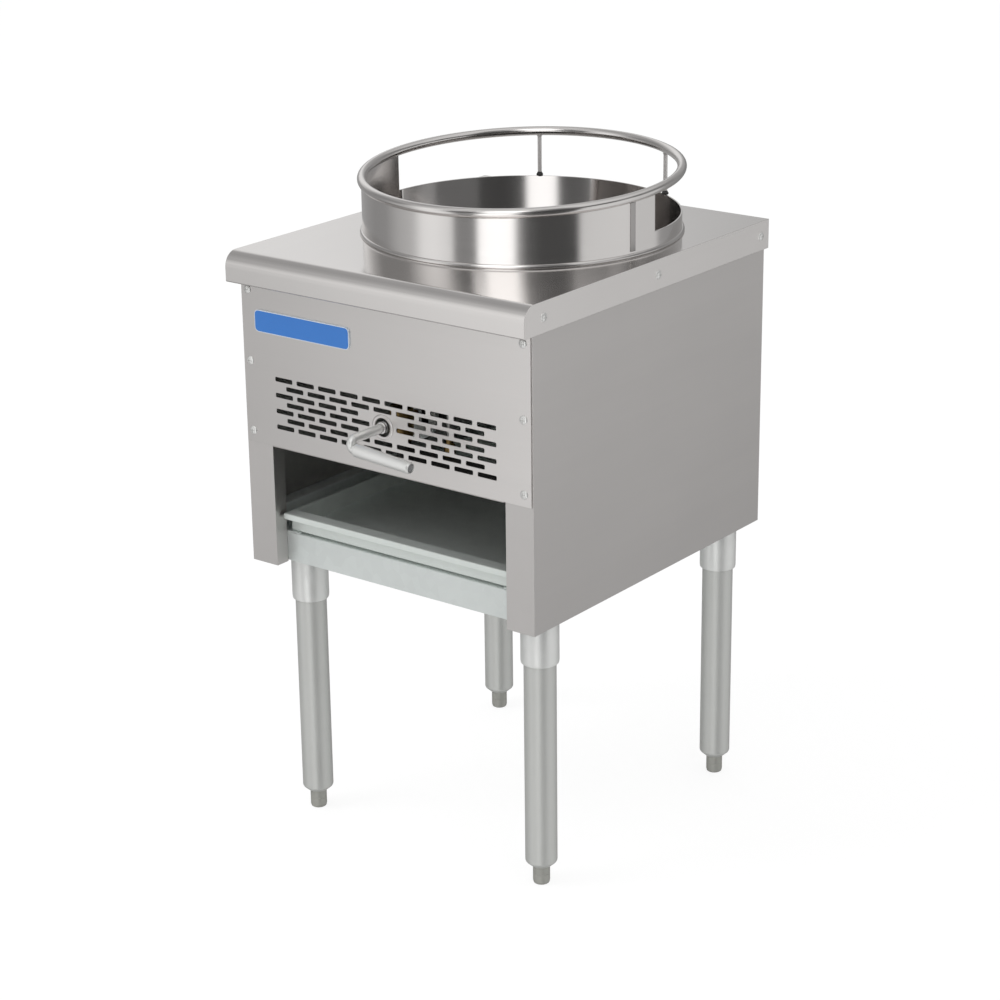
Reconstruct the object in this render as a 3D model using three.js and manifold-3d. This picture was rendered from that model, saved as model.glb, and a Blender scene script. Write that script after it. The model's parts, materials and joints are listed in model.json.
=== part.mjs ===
import * as THREE from "three";
import { mergeVertices } from "three/addons/utils/BufferGeometryUtils.js";
import Module from "manifold-3d";

// A floor-standing wok range: one round wok chamber with a guard ring in a stainless deck, on a
// cabinet with a slotted front, a lever gas valve, a sliding drip tray and four legs.
// Lengths are millimetres. +Z is up, the front faces -Y and the floor is z = 0.

// ------------------------------------------------------------------ driving dimensions
// Cabinet
const cabinetWidth = 457.2; // over the two side panels
const cabinetDepth = 506.9; // from the front posts to the rear edge
const cabinetBottom = 369.8; // lower edge above the floor
const cabinetHeight = 416; // from the lower edge to the deck's top
const sheet = 1.5; // cabinet sheet
const seat = 0.3; // gap left between pieces that rest on each other
const postWidth = 42.6; // front face of the post folded on each side panel
const postReturn = 21; // how far the post turns back into the cabinet
const sideHem = 12; // inward fold at the top and bottom of a side panel
const rearFlange = 16; // inward fold that carries the back panel

// Deck
const deckSheet = 2;
const skirtHeight = 38.7; // edge turned down round the deck
const skirtSheet = 3; // the skirt is folded double
const skirtClearance = 1.6; // skirt to cabinet
const bullnoseReach = 22; // rolled front edge ahead of the posts
const bullnoseRadius = 20;
const bullnoseLip = 12; // inward fold under the rolled edge

// Front panel
const frontOpening = 163.2; // clear height below the front panel
const panelInset = 2; // front panel edge inside the cabinet edge
const panelHem = 13; // inward fold over the opening
const panelTopGap = 5; // front panel to the underside of the deck
const openingClearance = 1; // fold to the posts beside it
const slotLength = 28.5;
const slotHeight = 5.8;
const slotPitchX = 35.75;
const slotPitchZ = 10.5;
const slotRows = 7;
const slotsInLongRow = 10;
const slotCorner = 0.3; // share of the height taken off each corner
const slotMargin = 2; // metal left between a slot and the valve collar
const slotEdgeMargin = 12; // metal left between a slot and the panel's edges

// Name plate, blank
const plateWidth = 155;
const plateHeight = 28.3;
const plateThickness = 2;
const plateCorner = 4;
const plateInset = 22.6; // from the front panel's left edge
const plateDrop = 34.8; // from the skirt's lower edge to the plate's top edge

// Legs
const legInsetSide = 40.1;
const legInsetFront = 64.3;
const legInsetRear = 35.9;
const legDiameter = 41.3;
const legWall = 1.6;
const socketWall = 3.4;
const socketDrop = 63.8; // socket below the cabinet
const socketCap = 3;
const swageHeight = 7; // tapered lower end of the leg tube
const swageDiameter = 25;
const footDiameter = 22;
const footExposed = 25; // foot showing below the leg at rest
const footGuide = 32; // length of the leg's guide bore
const footChamfer = 4;

// Lower frame and tray
const railHeight = 39.4;
const railFlange = 14;
const channelWidth = 60;
const channelHeight = 33;
const channelSheet = 2;
const runnerLedge = 22; // ledge beside the tray
const runnerShelf = 40; // shelf under the tray
const runnerFlange = 14;
const trayClearance = 4; // tray to the post beside it
const trayDepth = 27;
const trayRearGap = 10.3; // tray's rear wall to the rear rail
const traySetback = 25; // tray's front wall behind the posts
const trayLip = 14;
const trayLipDrop = 8;
const trayRim = 5;

// Wok ring and chamber
const ringSideMargin = 23.4; // ring wall inside the cabinet's sides
const ringRearMargin = 14.95; // ring wall ahead of the cabinet's rear edge
const ringSheet = 2;
const rimHeight = 76.7; // centre of the rolled rim above the deck, on the ring's axis
const rimTilt = 2.9; // degrees by which the rim rises to the rear
const rimDiameter = 12;
const rearWallHeight = 24.4; // the rear half of the ring stops this far above the deck
const rodDiameter = 5.5;
const rodFootDiameter = 9;
const rodFootHeight = 4;
const rodAngle = 60; // rods to the sides of the rear half, in degrees from the X axis
const collarWidth = 4.6;
const collarHeight = 6;
const collarEdgeHeight = 2.1; // upright outer edge of the collar
const collarCrestWidth = 2.3; // flat top of the collar
const chamberDepth = 85.8; // chamber floor below the deck
const chamberSheet = 2;
const chamberFlange = 5;

// Burner
const burnerDiameter = 160;
const burnerHeight = 36;
const burnerBase = 8;
const burnerRidgeWidth = 12;
const burnerRidgeBevel = 3;
const burnerRidges = 3;
const venturiDiameter = 44;
const venturiWall = 3;
const venturiBend = 46;
const venturiFlange = 17;
const venturiFlangeHeight = 5;
const bellRadius = 30;
const bellLength = 10;
const shutterSheet = 1.5;
const shutterSkirt = 7;
const shutterWindow = 11;
const bracketWidth = 60;
const bracketHeight = 26;

// Gas train
const valveRise = 60.7; // valve stem above the front opening
const valveSetback = 35; // valve body's axis behind the posts
const valveDiameter = 30;
const valveLength = 38;
const valveBoss = 8;
const valveBossDiameter = 26;
const spudDiameter = 12;
const spudLength = 34;
const stemDiameter = 8;
const stemClearance = 0.35;
const stemLength = 44;
const bonnetDiameter = 15;
const bonnetReach = 4; // bonnet ahead of the front panel
const bonnetLength = 16;
const valveNeckWall = 2; // valve neck's radius over the bonnet's
const panelHoleDiameter = 24;
const bezelWidth = 4.5;
const bezelThickness = 1.2;
const pipeDiameter = 21.3;
const pipeDrop = 44; // pipe below the valve stem
const pipeBend = 15;
const inletInset = 78.6; // gas inlet inside the cabinet's right side
const inletReach = 28; // pipe end behind the cabinet
const nutFlats = 32;
const nutLength = 12;
const pilotOffset = 75;
const pilotValveDiameter = 14;
const pilotValveHeight = 24;
const pilotValveShoulder = 14.4; // height of the pilot valve's body
const pilotValveBevel = 2.4;
const pilotNeckWall = 1.5; // pilot valve's neck round the tube
const pilotTubeDiameter = 6.4;
const pilotTubeRise = 46;
const pilotTubeBend = 14;
const pilotGap = 12; // pilot burner to the main burner
const pilotAngle = -45;
const pilotBurnerDiameter = 9;
const pilotBurnerHeight = 38;
const pilotFlangeDiameter = 16;
const pilotFlangeHeight = 2.5;
const pilotTipHeight = 7.6;
const pilotTipDiameter = 5.4;

// Lever
const leverReach = 60; // grip's axis ahead of the front panel
const leverDrop = 11.7; // grip below the stem
const leverRodDiameter = 12;
const gripStart = 7;
const gripLength = 86;
const gripDroop = 4.5; // degrees
const gripRadiusInner = 8.6;
const gripRadiusOuter = 7.2;
const gripSocketDepth = 62;
const gripPlugLength = 9;
const gripPlugWall = 1.4;
const gripPlugInset = 1; // plug's face inside the grip's end
const gripBevel = 1;
const leverBore = 14;

// Screws
const screwHead = 5.4; // head radius
const screwHeadHeight = 2.4;
const screwCrown = 3.2; // radius at which the head's dome flattens
const screwCrownHeight = 1.8;
const screwShank = 2.4; // shank radius
const screwLength = 9;
const panelScrewInset = 10.6;
const panelScrewTop = 11; // below the skirt
const panelScrewBottom = 17; // above the opening
const skirtScrewInset = 16; // from the cabinet's front and rear edges

// Facets
const roundSides = 60;
const burnerSides = 28;
const mediumSides = 24;
const legSides = 20;
const gripSides = 16;
const smallSides = 12;
const tinySides = 8;
const rimSides = 8;
const pilotTubeSides = 6;
const cornerSteps = 3; // facets of a plate's corner
const bullnoseSteps = 6;
const pipeStep = 13; // length of a facet along a bend
const venturiStep = 22;
const pilotTubeStep = 9;

// ------------------------------------------------------------------ derived places
const halfWidth = cabinetWidth / 2;
const deckHeight = cabinetBottom + cabinetHeight;
const frontY = -cabinetDepth / 2;
const rearY = cabinetDepth / 2;
const innerX = halfWidth - sheet; // inside face of a side panel
const postInnerX = halfWidth - postWidth;
const deckUnder = deckHeight - deckSheet;
const cabinetTop = deckUnder - seat;
const skirtBottom = deckHeight - skirtHeight;
const deckHalfWidth = halfWidth + skirtClearance + skirtSheet;
const deckFrontY = frontY - bullnoseReach;
const deckRearY = rearY + skirtClearance + skirtSheet;
const rearFlangeY = rearY - 2 * sheet - seat; // front face of the side panels' rear flanges

const openingTop = cabinetBottom + frontOpening;
const valveHeight = openingTop + valveRise;
const panelBackY = frontY - seat;
const panelFrontY = panelBackY - sheet;
const panelHalfWidth = halfWidth - panelInset;

const railX = innerX - seat;
const railBottom = cabinetBottom + sheet + seat;
const railTop = railBottom + railHeight;
const frontRailY = frontY + postReturn + seat;
const rearRailY = rearFlangeY - seat;
const legX = halfWidth - legInsetSide;
const frontLegY = frontY + legInsetFront;
const rearLegY = rearY - legInsetRear;
const channelUnder = railBottom + channelHeight - channelSheet;
const socketTop = channelUnder - seat;
const socketBottom = cabinetBottom - socketDrop;
const legRadius = legDiameter / 2;
const socketBore = legRadius + seat;
const legTop = socketTop - socketCap - seat;

const shelfBottom = railTop + seat;
const trayBottom = shelfBottom + sheet + seat;
const trayTop = trayBottom + trayDepth;
const trayHalfWidth = postInnerX - trayClearance;
const trayFrontY = frontY + traySetback;
const trayBackY = rearRailY - trayRearGap;
const ledgeInnerX = innerX - seat - runnerLedge;

const ringRadius = halfWidth - ringSideMargin;
const ringY = rearY - ringRearMargin - ringRadius;
const ringMid = ringRadius - ringSheet / 2;
const rimZ = deckHeight + rimHeight;
const rimRadius = rimDiameter / 2;
const rimRise = Math.tan(THREE.MathUtils.degToRad(rimTilt)); // for each millimetre to the rear
const wallTop = rimZ - rimRadius - seat; // on the ring's axis
const rearWallTop = deckHeight + rearWallHeight;
const chamberFloor = deckHeight - chamberDepth;
const chamberUnder = chamberFloor - chamberSheet;

const venturiRadius = venturiDiameter / 2;
const venturiTop = chamberFloor + seat + venturiFlangeHeight;
const burnerBottom = venturiTop + seat;
const burnerRadius = burnerDiameter / 2;
const bracketTop = chamberUnder - seat;

const valveY = frontY + valveSetback;
const valveRadius = valveDiameter / 2;
const valveBottom = valveHeight - valveLength / 2 - valveBoss;
const bonnetFrontY = panelFrontY - bonnetReach;
const bonnetBackY = bonnetFrontY + bonnetLength;
const leverBackY = bonnetFrontY - seat;
const stemBore = stemDiameter / 2 + stemClearance;
const spudTipY = valveY + spudLength;
const shutterY = spudTipY - shutterSkirt; // front face of the shutter
const bellY = shutterY + shutterSheet + seat; // mouth of the mixing tube
const pipeZ = valveHeight - pipeDrop;
const pipeRadius = pipeDiameter / 2;
const inletX = halfWidth - inletInset;
const holeRadius = panelHoleDiameter / 2;

const pilotRadius = burnerRadius + pilotGap;
const pilotX = pilotRadius * Math.cos(THREE.MathUtils.degToRad(pilotAngle));
const pilotY = ringY + pilotRadius * Math.sin(THREE.MathUtils.degToRad(pilotAngle));
const pilotTubeRadius = pilotTubeDiameter / 2;

const gripY = panelFrontY - leverReach;
const gripZ = valveHeight - leverDrop;

const panelScrewX = panelHalfWidth - panelScrewInset;
const panelScrewTopZ = skirtBottom - panelScrewTop;
const panelScrewBottomZ = openingTop + panelScrewBottom;
const panelScrewRows = [
  ["top", panelScrewTopZ],
  ["middle", (panelScrewTopZ + panelScrewBottomZ) / 2],
  ["bottom", panelScrewBottomZ],
];
const skirtScrewZ = skirtBottom + skirtHeight / 2;
const skirtScrewPlaces = [
  ["front", frontY + skirtScrewInset],
  ["middle", 0],
  ["rear", rearY - skirtScrewInset],
];
const screwHole = screwShank + seat;

// The foremost and rearmost points set where the origin lies.
const foremostY = gripY - gripRadiusInner;
const rearmostY = rearY + inletReach;
const originShift = -(foremostY + rearmostY) / 2;

// ------------------------------------------------------------------ finishes
const finishes = {
  panel: { color: 0xb9b7b5, roughness: 0.38, metalness: 0.9 },
  side: { color: 0xa6a5a3, roughness: 0.42, metalness: 0.9 },
  polished: { color: 0xcfcecc, roughness: 0.16, metalness: 1 },
  zinc: { color: 0xbec5c4, roughness: 0.5, metalness: 0.6 },
  leg: { color: 0xb4b4b2, roughness: 0.4, metalness: 0.85 },
  tray: { color: 0x6f7572, roughness: 0.45, metalness: 0.8 },
  iron: { color: 0x2b2a29, roughness: 0.8, metalness: 0.3 },
  brass: { color: 0xb08d4a, roughness: 0.4, metalness: 0.9 },
  pipe: { color: 0x33332f, roughness: 0.6, metalness: 0.5 },
  chrome: { color: 0xdcdcda, roughness: 0.2, metalness: 1 },
  plate: { color: 0x4b83c8, roughness: 0.35, metalness: 0.1 },
  plug: { color: 0x3a3a38, roughness: 0.6, metalness: 0 },
};

// ------------------------------------------------------------------ solid helpers
const weldDistance = 1e-4;
const bendShare = 0.9; // the most of a straight run that a bend takes
const wasm = await Module();
wasm.setup();

function toSolid(geometry) {
  const bare = geometry.index ? geometry.toNonIndexed() : geometry.clone();
  bare.deleteAttribute("normal");
  bare.deleteAttribute("uv");
  const merged = mergeVertices(bare, weldDistance);
  return new wasm.Manifold(
    new wasm.Mesh({
      numProp: 3,
      vertProperties: merged.attributes.position.array,
      triVerts: new Uint32Array(merged.index.array),
    }),
  );
}

function toGeometry(solid) {
  const mesh = solid.getMesh();
  const geometry = new THREE.BufferGeometry();
  const positions = new Float32Array(mesh.vertProperties);
  geometry.setAttribute("position", new THREE.BufferAttribute(positions, 3));
  geometry.setIndex(new THREE.BufferAttribute(new Uint32Array(mesh.triVerts), 1));
  geometry.computeVertexNormals();
  return geometry;
}

function join(...pieces) {
  return toGeometry(pieces.map(toSolid).reduce((whole, piece) => whole.add(piece)));
}

function cut(base, ...tools) {
  return toGeometry(tools.map(toSolid).reduce((whole, tool) => whole.subtract(tool), toSolid(base)));
}

// A box between two limits on each axis, with its corners exactly on them.
function box(xs, ys, zs) {
  const geometry = new THREE.BoxGeometry(2, 2, 2);
  const p = geometry.attributes.position;
  for (let i = 0; i < p.count; i++) {
    p.setXYZ(i, xs[p.getX(i) < 0 ? 0 : 1], ys[p.getY(i) < 0 ? 0 : 1], zs[p.getZ(i) < 0 ? 0 : 1]);
  }
  return geometry;
}

// Turns a lathe profile's faces outwards if its points run the other way round.
function outward(geometry) {
  const p = geometry.attributes.position;
  const index = geometry.index.array;
  const corner = (i) => new THREE.Vector3().fromBufferAttribute(p, index[i]);
  let volume = 0;
  for (let i = 0; i < index.length; i += 3) {
    volume += corner(i).dot(corner(i + 1).cross(corner(i + 2)));
  }
  if (volume < 0) {
    for (let i = 0; i < index.length; i += 3) {
      [index[i + 1], index[i + 2]] = [index[i + 2], index[i + 1]];
    }
  }
  return geometry;
}

// A profile of [radius, height] points turned round a vertical axis.
function turned(profile, sides, x = 0, y = 0) {
  const points = profile.map(([radius, height]) => new THREE.Vector2(radius, height));
  return outward(new THREE.LatheGeometry(points, sides).rotateX(Math.PI / 2)).translate(x, y, 0);
}

// The same, round an axis along Y, with the profile's heights as y.
function turnedY(profile, sides, x, z) {
  const points = profile.map(([radius, height]) => new THREE.Vector2(radius, height));
  return outward(new THREE.LatheGeometry(points, sides)).translate(x, 0, z);
}

// The same, round an axis along X, with the profile's heights as x.
function turnedX(profile, sides, y, z) {
  const points = profile.map(([radius, height]) => new THREE.Vector2(radius, height));
  return outward(new THREE.LatheGeometry(points, sides).rotateZ(-Math.PI / 2)).translate(0, y, z);
}

const discProfile = (radius, low, high) => [
  [0, low],
  [radius, low],
  [radius, high],
  [0, high],
];

// The radius of a many-sided hole whose flats clear a round of the given radius.
const clearing = (radius, sides) => (radius + seat) / Math.cos(Math.PI / sides);

const ringProfile = (inner, outer, low, high) => [
  [inner, low],
  [outer, low],
  [outer, high],
  [inner, high],
  [inner, low],
];

function outline(points) {
  return new THREE.Shape(points.map(([u, v]) => new THREE.Vector2(u, v)));
}

function prism(shape, depth, curveSegments) {
  return new THREE.ExtrudeGeometry(shape, { depth, bevelEnabled: false, curveSegments });
}

// An outline in y and z with its depth along X.
function prismX(shape, x0, x1) {
  const axes = new THREE.Matrix4().makeBasis(
    new THREE.Vector3(0, 1, 0),
    new THREE.Vector3(0, 0, 1),
    new THREE.Vector3(1, 0, 0),
  );
  return prism(shape, x1 - x0, bullnoseSteps).applyMatrix4(axes).translate(x0, 0, 0);
}

// An outline in x and z with its depth along Y.
function prismY(shape, y0, y1) {
  return prism(shape, y1 - y0, cornerSteps).rotateX(Math.PI / 2).translate(0, y1, 0);
}

// An outline in x and y with its depth along Z.
function prismZ(shape, z0, z1) {
  return prism(shape, z1 - z0, cornerSteps).translate(0, 0, z0);
}

// A rounded rectangle about a centre, as a closed path of the given kind.
function roundedOutline(Kind, cx, cy, width, height, radius) {
  const path = new Kind();
  const x = width / 2 - radius;
  const y = height / 2 - radius;
  path.moveTo(cx - x, cy - height / 2);
  path.lineTo(cx + x, cy - height / 2);
  path.absarc(cx + x, cy - y, radius, -Math.PI / 2, 0);
  path.absarc(cx + x, cy + y, radius, 0, Math.PI / 2);
  path.absarc(cx - x, cy + y, radius, Math.PI / 2, Math.PI);
  path.absarc(cx - x, cy - y, radius, Math.PI, 1.5 * Math.PI);
  path.closePath();
  return path;
}

// Straight runs joined by smooth bends, each no longer than its runs leave room for.
function bentRun(points, bend) {
  const run = new THREE.CurvePath();
  const towards = (corner, point) => {
    const leg = point.clone().sub(corner);
    return corner.clone().add(leg.setLength(Math.min(bend, bendShare * leg.length())));
  };
  let from = points[0];
  for (let i = 1; i < points.length - 1; i++) {
    const corner = points[i];
    const into = towards(corner, points[i - 1]);
    const out = towards(corner, points[i + 1]);
    run.add(new THREE.LineCurve3(from, into));
    run.add(new THREE.QuadraticBezierCurve3(into, corner, out));
    from = out;
  }
  run.add(new THREE.LineCurve3(from, points[points.length - 1]));
  return run;
}

// A round bar, or a tube where it has a bore, along a run, with an even number of sides.
function bar(run, radius, barSides, step, bore = 0) {
  const section = new THREE.Shape();
  section.absarc(0, 0, radius, 0, 2 * Math.PI);
  if (bore > 0) {
    const hole = new THREE.Path();
    hole.absarc(0, 0, bore, 0, 2 * Math.PI, true);
    section.holes.push(hole);
  }
  const steps = Math.ceil(run.getLength() / step);
  return new THREE.ExtrudeGeometry(section, {
    extrudePath: run,
    steps,
    curveSegments: barSides / 2,
    bevelEnabled: false,
  });
}

const range = new THREE.Group();
range.position.y = originShift;

function addPiece(name, finish, geometry) {
  const mesh = new THREE.Mesh(geometry, new THREE.MeshStandardMaterial(finishes[finish]));
  mesh.name = name;
  range.add(mesh);
}

const sides = [
  ["left", -1],
  ["right", 1],
];
const ordered = (a, b) => [Math.min(a, b), Math.max(a, b)];

// ------------------------------------------------------------------ deck
// The deck's side outline from the rear edge over the rolled front, closed by the given points.
function deckOutline(rear, top, front, radius, bottomPoints) {
  const shape = new THREE.Shape();
  shape.moveTo(rear, top);
  shape.lineTo(front + radius, top);
  shape.absarc(front + radius, top - radius, radius, Math.PI / 2, Math.PI);
  for (const [y, z] of bottomPoints) shape.lineTo(y, z);
  shape.closePath();
  return shape;
}

function deckTop() {
  const skin = deckOutline(deckRearY, deckHeight, deckFrontY, bullnoseRadius, [
    [deckFrontY, skirtBottom],
    [deckRearY, skirtBottom],
  ]);
  const below = skirtBottom - sheet;
  const lipTop = skirtBottom + sheet;
  const hollow = deckOutline(
    deckRearY - skirtSheet,
    deckUnder,
    deckFrontY + deckSheet,
    bullnoseRadius - deckSheet,
    [
      [deckFrontY + deckSheet, lipTop],
      [deckFrontY + bullnoseLip, lipTop],
      [deckFrontY + bullnoseLip, below],
      [deckRearY - skirtSheet, below],
    ],
  );
  const innerHalf = deckHalfWidth - skirtSheet;
  const across = discProfile(screwHole, -deckHalfWidth - sheet, deckHalfWidth + sheet);
  const holes = skirtScrewPlaces.map(([, y]) => turnedX(across, tinySides, y, skirtScrewZ));
  return cut(
    prismX(skin, -deckHalfWidth, deckHalfWidth),
    prismX(hollow, -innerHalf, innerHalf),
    turned(discProfile(ringRadius + seat, deckUnder - sheet, deckHeight + sheet), roundSides, 0, ringY),
    ...holes,
  );
}

// ------------------------------------------------------------------ cabinet panels
// A side sheet whose front edge folds into a post and whose other edges fold inwards.
function sidePanel(side) {
  const x = (a, b) => ordered(side * a, side * b);
  const plan = outline(
    [
      [postInnerX, frontY],
      [halfWidth, frontY],
      [halfWidth, rearY],
      [innerX, rearY],
      [innerX, rearFlangeY + sheet],
      [halfWidth - rearFlange, rearFlangeY + sheet],
      [halfWidth - rearFlange, rearFlangeY],
      [halfWidth - sideHem, rearFlangeY],
      [halfWidth - sideHem, frontY + sheet],
      [postInnerX + sheet, frontY + sheet],
      [postInnerX + sheet, frontY + postReturn],
      [postInnerX, frontY + postReturn],
    ].map(([px, py]) => [side * px, py]),
  );
  const hollow = box(
    x(halfWidth - sideHem - sheet, innerX),
    [frontY + sheet, rearFlangeY],
    [cabinetBottom + sheet, cabinetTop - sheet],
  );
  const shell = prismZ(plan, cabinetBottom, cabinetTop);
  const [low, high] = x(innerX - sheet, halfWidth + sheet);
  const skirtHoles = skirtScrewPlaces.map(([, y]) =>
    turnedX(discProfile(screwHole, low, high), tinySides, y, skirtScrewZ),
  );
  const postHoles = panelScrewRows.map(([, rowZ]) =>
    turnedY(
      discProfile(screwHole, frontY - sheet, frontY + 2 * sheet),
      tinySides,
      side * panelScrewX,
      rowZ,
    ),
  );
  return cut(shell, hollow, ...skirtHoles, ...postHoles);
}

function backPanel() {
  const sheetBack = box([-railX, railX], [rearY - sheet, rearY], [cabinetBottom, cabinetTop]);
  const pipeHole = turnedY(
    discProfile(clearing(pipeRadius, smallSides), rearY - 2 * sheet, rearY + sheet),
    smallSides,
    inletX,
    pipeZ,
  );
  return cut(sheetBack, pipeHole);
}

// Centres of the vent slots: long and short rows in turn, none where the valve comes through.
function slotCentres() {
  const collar = holeRadius + bezelWidth + slotMargin;
  const centres = [];
  for (let row = 0; row < slotRows; row++) {
    const z = valveHeight + (row - (slotRows - 1) / 2) * slotPitchZ;
    const count = row % 2 === 0 ? slotsInLongRow : slotsInLongRow - 1;
    for (let i = 0; i < count; i++) {
      const x = (i - (count - 1) / 2) * slotPitchX;
      const gapX = Math.max(Math.abs(x) - slotLength / 2, 0);
      const gapZ = Math.max(Math.abs(z - valveHeight) - slotHeight / 2, 0);
      const clearOfCollar = Math.hypot(gapX, gapZ) > collar - slotHeight / 2;
      const clearOfSides = Math.abs(x) + slotLength / 2 < panelHalfWidth - slotEdgeMargin;
      const clearOfHem = z - slotHeight / 2 > openingTop + slotEdgeMargin;
      const clearOfSkirt = z + slotHeight / 2 < skirtBottom - slotEdgeMargin;
      if (clearOfCollar && clearOfSides && clearOfHem && clearOfSkirt) centres.push([x, z]);
    }
  }
  return centres;
}

// A slot's outline with its corners taken off.
function slotOutline(x, z) {
  const half = slotLength / 2;
  const high = slotHeight / 2;
  const corner = slotHeight * slotCorner;
  const points = [
    [half - corner, -high],
    [half, corner - high],
    [half, high - corner],
    [half - corner, high],
  ];
  const turnedRound = points.map(([u, v]) => [-u, -v]);
  return new THREE.Path([...points, ...turnedRound].map(([u, v]) => new THREE.Vector2(x + u, z + v)));
}

function frontPanel() {
  const top = deckUnder - panelTopGap;
  const face = outline([
    [-panelHalfWidth, openingTop],
    [panelHalfWidth, openingTop],
    [panelHalfWidth, top],
    [-panelHalfWidth, top],
  ]);
  face.holes = slotCentres().map(([x, z]) => slotOutline(x, z));
  const hemHalf = postInnerX - openingClearance;
  const hem = box(
    [-hemHalf, hemHalf],
    [panelFrontY + sheet / 2, frontY + panelHem],
    [openingTop, openingTop + sheet],
  );
  const through = (radius) => discProfile(radius, panelFrontY - sheet, frontY);
  const stemHole = turnedY(through(holeRadius), mediumSides, 0, valveHeight);
  const screwHoles = sides.flatMap(([, side]) =>
    panelScrewRows.map(([, z]) =>
      turnedY(through(screwHole), tinySides, side * panelScrewX, z),
    ),
  );
  return cut(join(prismY(face, panelFrontY, panelBackY), hem), stemHole, ...screwHoles);
}

function namePlate() {
  const x = -panelHalfWidth + plateInset + plateWidth / 2;
  const z = skirtBottom - plateDrop - plateHeight / 2;
  const face = roundedOutline(THREE.Shape, x, z, plateWidth, plateHeight, plateCorner);
  return prismY(face, panelFrontY - seat - plateThickness, panelFrontY - seat);
}

function stemBezel() {
  const low = panelFrontY - seat - bezelThickness;
  const wall = ringProfile(holeRadius, holeRadius + bezelWidth, low, panelFrontY - seat);
  return turnedY(wall, mediumSides, 0, valveHeight);
}

// A screw with a domed head: its shank points along +1 or -1 of the axis from the seat.
function screwProfile(at, towards) {
  return [
    [0, at - towards * screwHeadHeight],
    [screwCrown, at - towards * screwCrownHeight],
    [screwHead, at],
    [screwShank, at],
    [screwShank, at + towards * screwLength],
    [0, at + towards * screwLength],
  ];
}

function addScrews() {
  for (const [sideName, side] of sides) {
    for (const [rowName, z] of panelScrewRows) {
      const profile = screwProfile(panelFrontY - seat, 1);
      const screw = turnedY(profile, tinySides, side * panelScrewX, z);
      addPiece(`panel_screw_${rowName}_${sideName}`, "chrome", screw);
    }
    for (const [placeName, y] of skirtScrewPlaces) {
      const profile = screwProfile(side * (deckHalfWidth + seat), -side);
      const screw = turnedX(profile, tinySides, y, skirtScrewZ);
      addPiece(`skirt_screw_${placeName}_${sideName}`, "chrome", screw);
    }
  }
}

// ------------------------------------------------------------------ lower frame and legs
// An angle: an upright web with a flange turned towards +1 or -1 of Y along its top.
function rail(outerY, towards) {
  const section = [
    [0, railBottom],
    [sheet, railBottom],
    [sheet, railTop - sheet],
    [railFlange, railTop - sheet],
    [railFlange, railTop],
    [0, railTop],
  ].map(([depth, z]) => [outerY + towards * depth, z]);
  return prismX(outline(section), -railX, railX);
}

function baseChannel(side) {
  const centre = side * legX;
  const y = [frontRailY + sheet + seat, rearRailY - sheet - seat];
  const z = [railBottom, railBottom + channelHeight];
  const half = channelWidth / 2;
  return cut(
    box([centre - half, centre + half], y, z),
    box(
      [centre - half + channelSheet, centre + half - channelSheet],
      [y[0] - sheet, y[1] + sheet],
      [z[0] - sheet, channelUnder],
    ),
  );
}

function legSocket(x, y) {
  const outer = socketBore + socketWall;
  return turned(
    [
      [0, socketTop],
      [outer, socketTop],
      [outer, socketBottom],
      [socketBore, socketBottom],
      [socketBore, socketTop - socketCap],
      [0, socketTop - socketCap],
    ],
    legSides,
    x,
    y,
  );
}

function legTube(x, y) {
  const guide = footDiameter / 2 + seat;
  const swageTop = footExposed + swageHeight;
  const guideTop = footExposed + footGuide;
  return turned(
    [
      [legRadius, legTop],
      [legRadius, swageTop],
      [swageDiameter / 2, footExposed],
      [guide, footExposed],
      [guide, guideTop],
      [legRadius - legWall, guideTop],
      [legRadius - legWall, legTop],
      [legRadius, legTop],
    ],
    legSides,
    x,
    y,
  );
}

function levelingFoot(x, y) {
  const radius = footDiameter / 2;
  return turned(
    [
      [0, 0],
      [radius - footChamfer, 0],
      [radius, footChamfer],
      [radius, footExposed + footGuide],
      [0, footExposed + footGuide],
    ],
    legSides,
    x,
    y,
  );
}

function addLegs() {
  for (const [sideName, side] of sides) {
    for (const [endName, y] of [["front", frontLegY], ["rear", rearLegY]]) {
      const place = `${endName}_${sideName}`;
      addPiece(`leg_socket_${place}`, "zinc", legSocket(side * legX, y));
      addPiece(`leg_tube_${place}`, "leg", legTube(side * legX, y));
      addPiece(`leg_foot_${place}`, "leg", levelingFoot(side * legX, y));
    }
  }
}

// ------------------------------------------------------------------ drip tray
// A flange on the side panel, a ledge beside the tray, a web and a shelf under the tray.
function trayRunner(side) {
  const outer = innerX - seat;
  const section = [
    [outer, trayTop],
    [ledgeInnerX, trayTop],
    [ledgeInnerX, shelfBottom + sheet],
    [ledgeInnerX - runnerShelf, shelfBottom + sheet],
    [ledgeInnerX - runnerShelf, shelfBottom],
    [ledgeInnerX + sheet, shelfBottom],
    [ledgeInnerX + sheet, trayTop - sheet],
    [outer - sheet, trayTop - sheet],
    [outer - sheet, trayTop - runnerFlange],
    [outer, trayTop - runnerFlange],
  ].map(([x, z]) => [side * x, z]);
  return prismY(outline(section), frontRailY, rearRailY);
}

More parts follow.
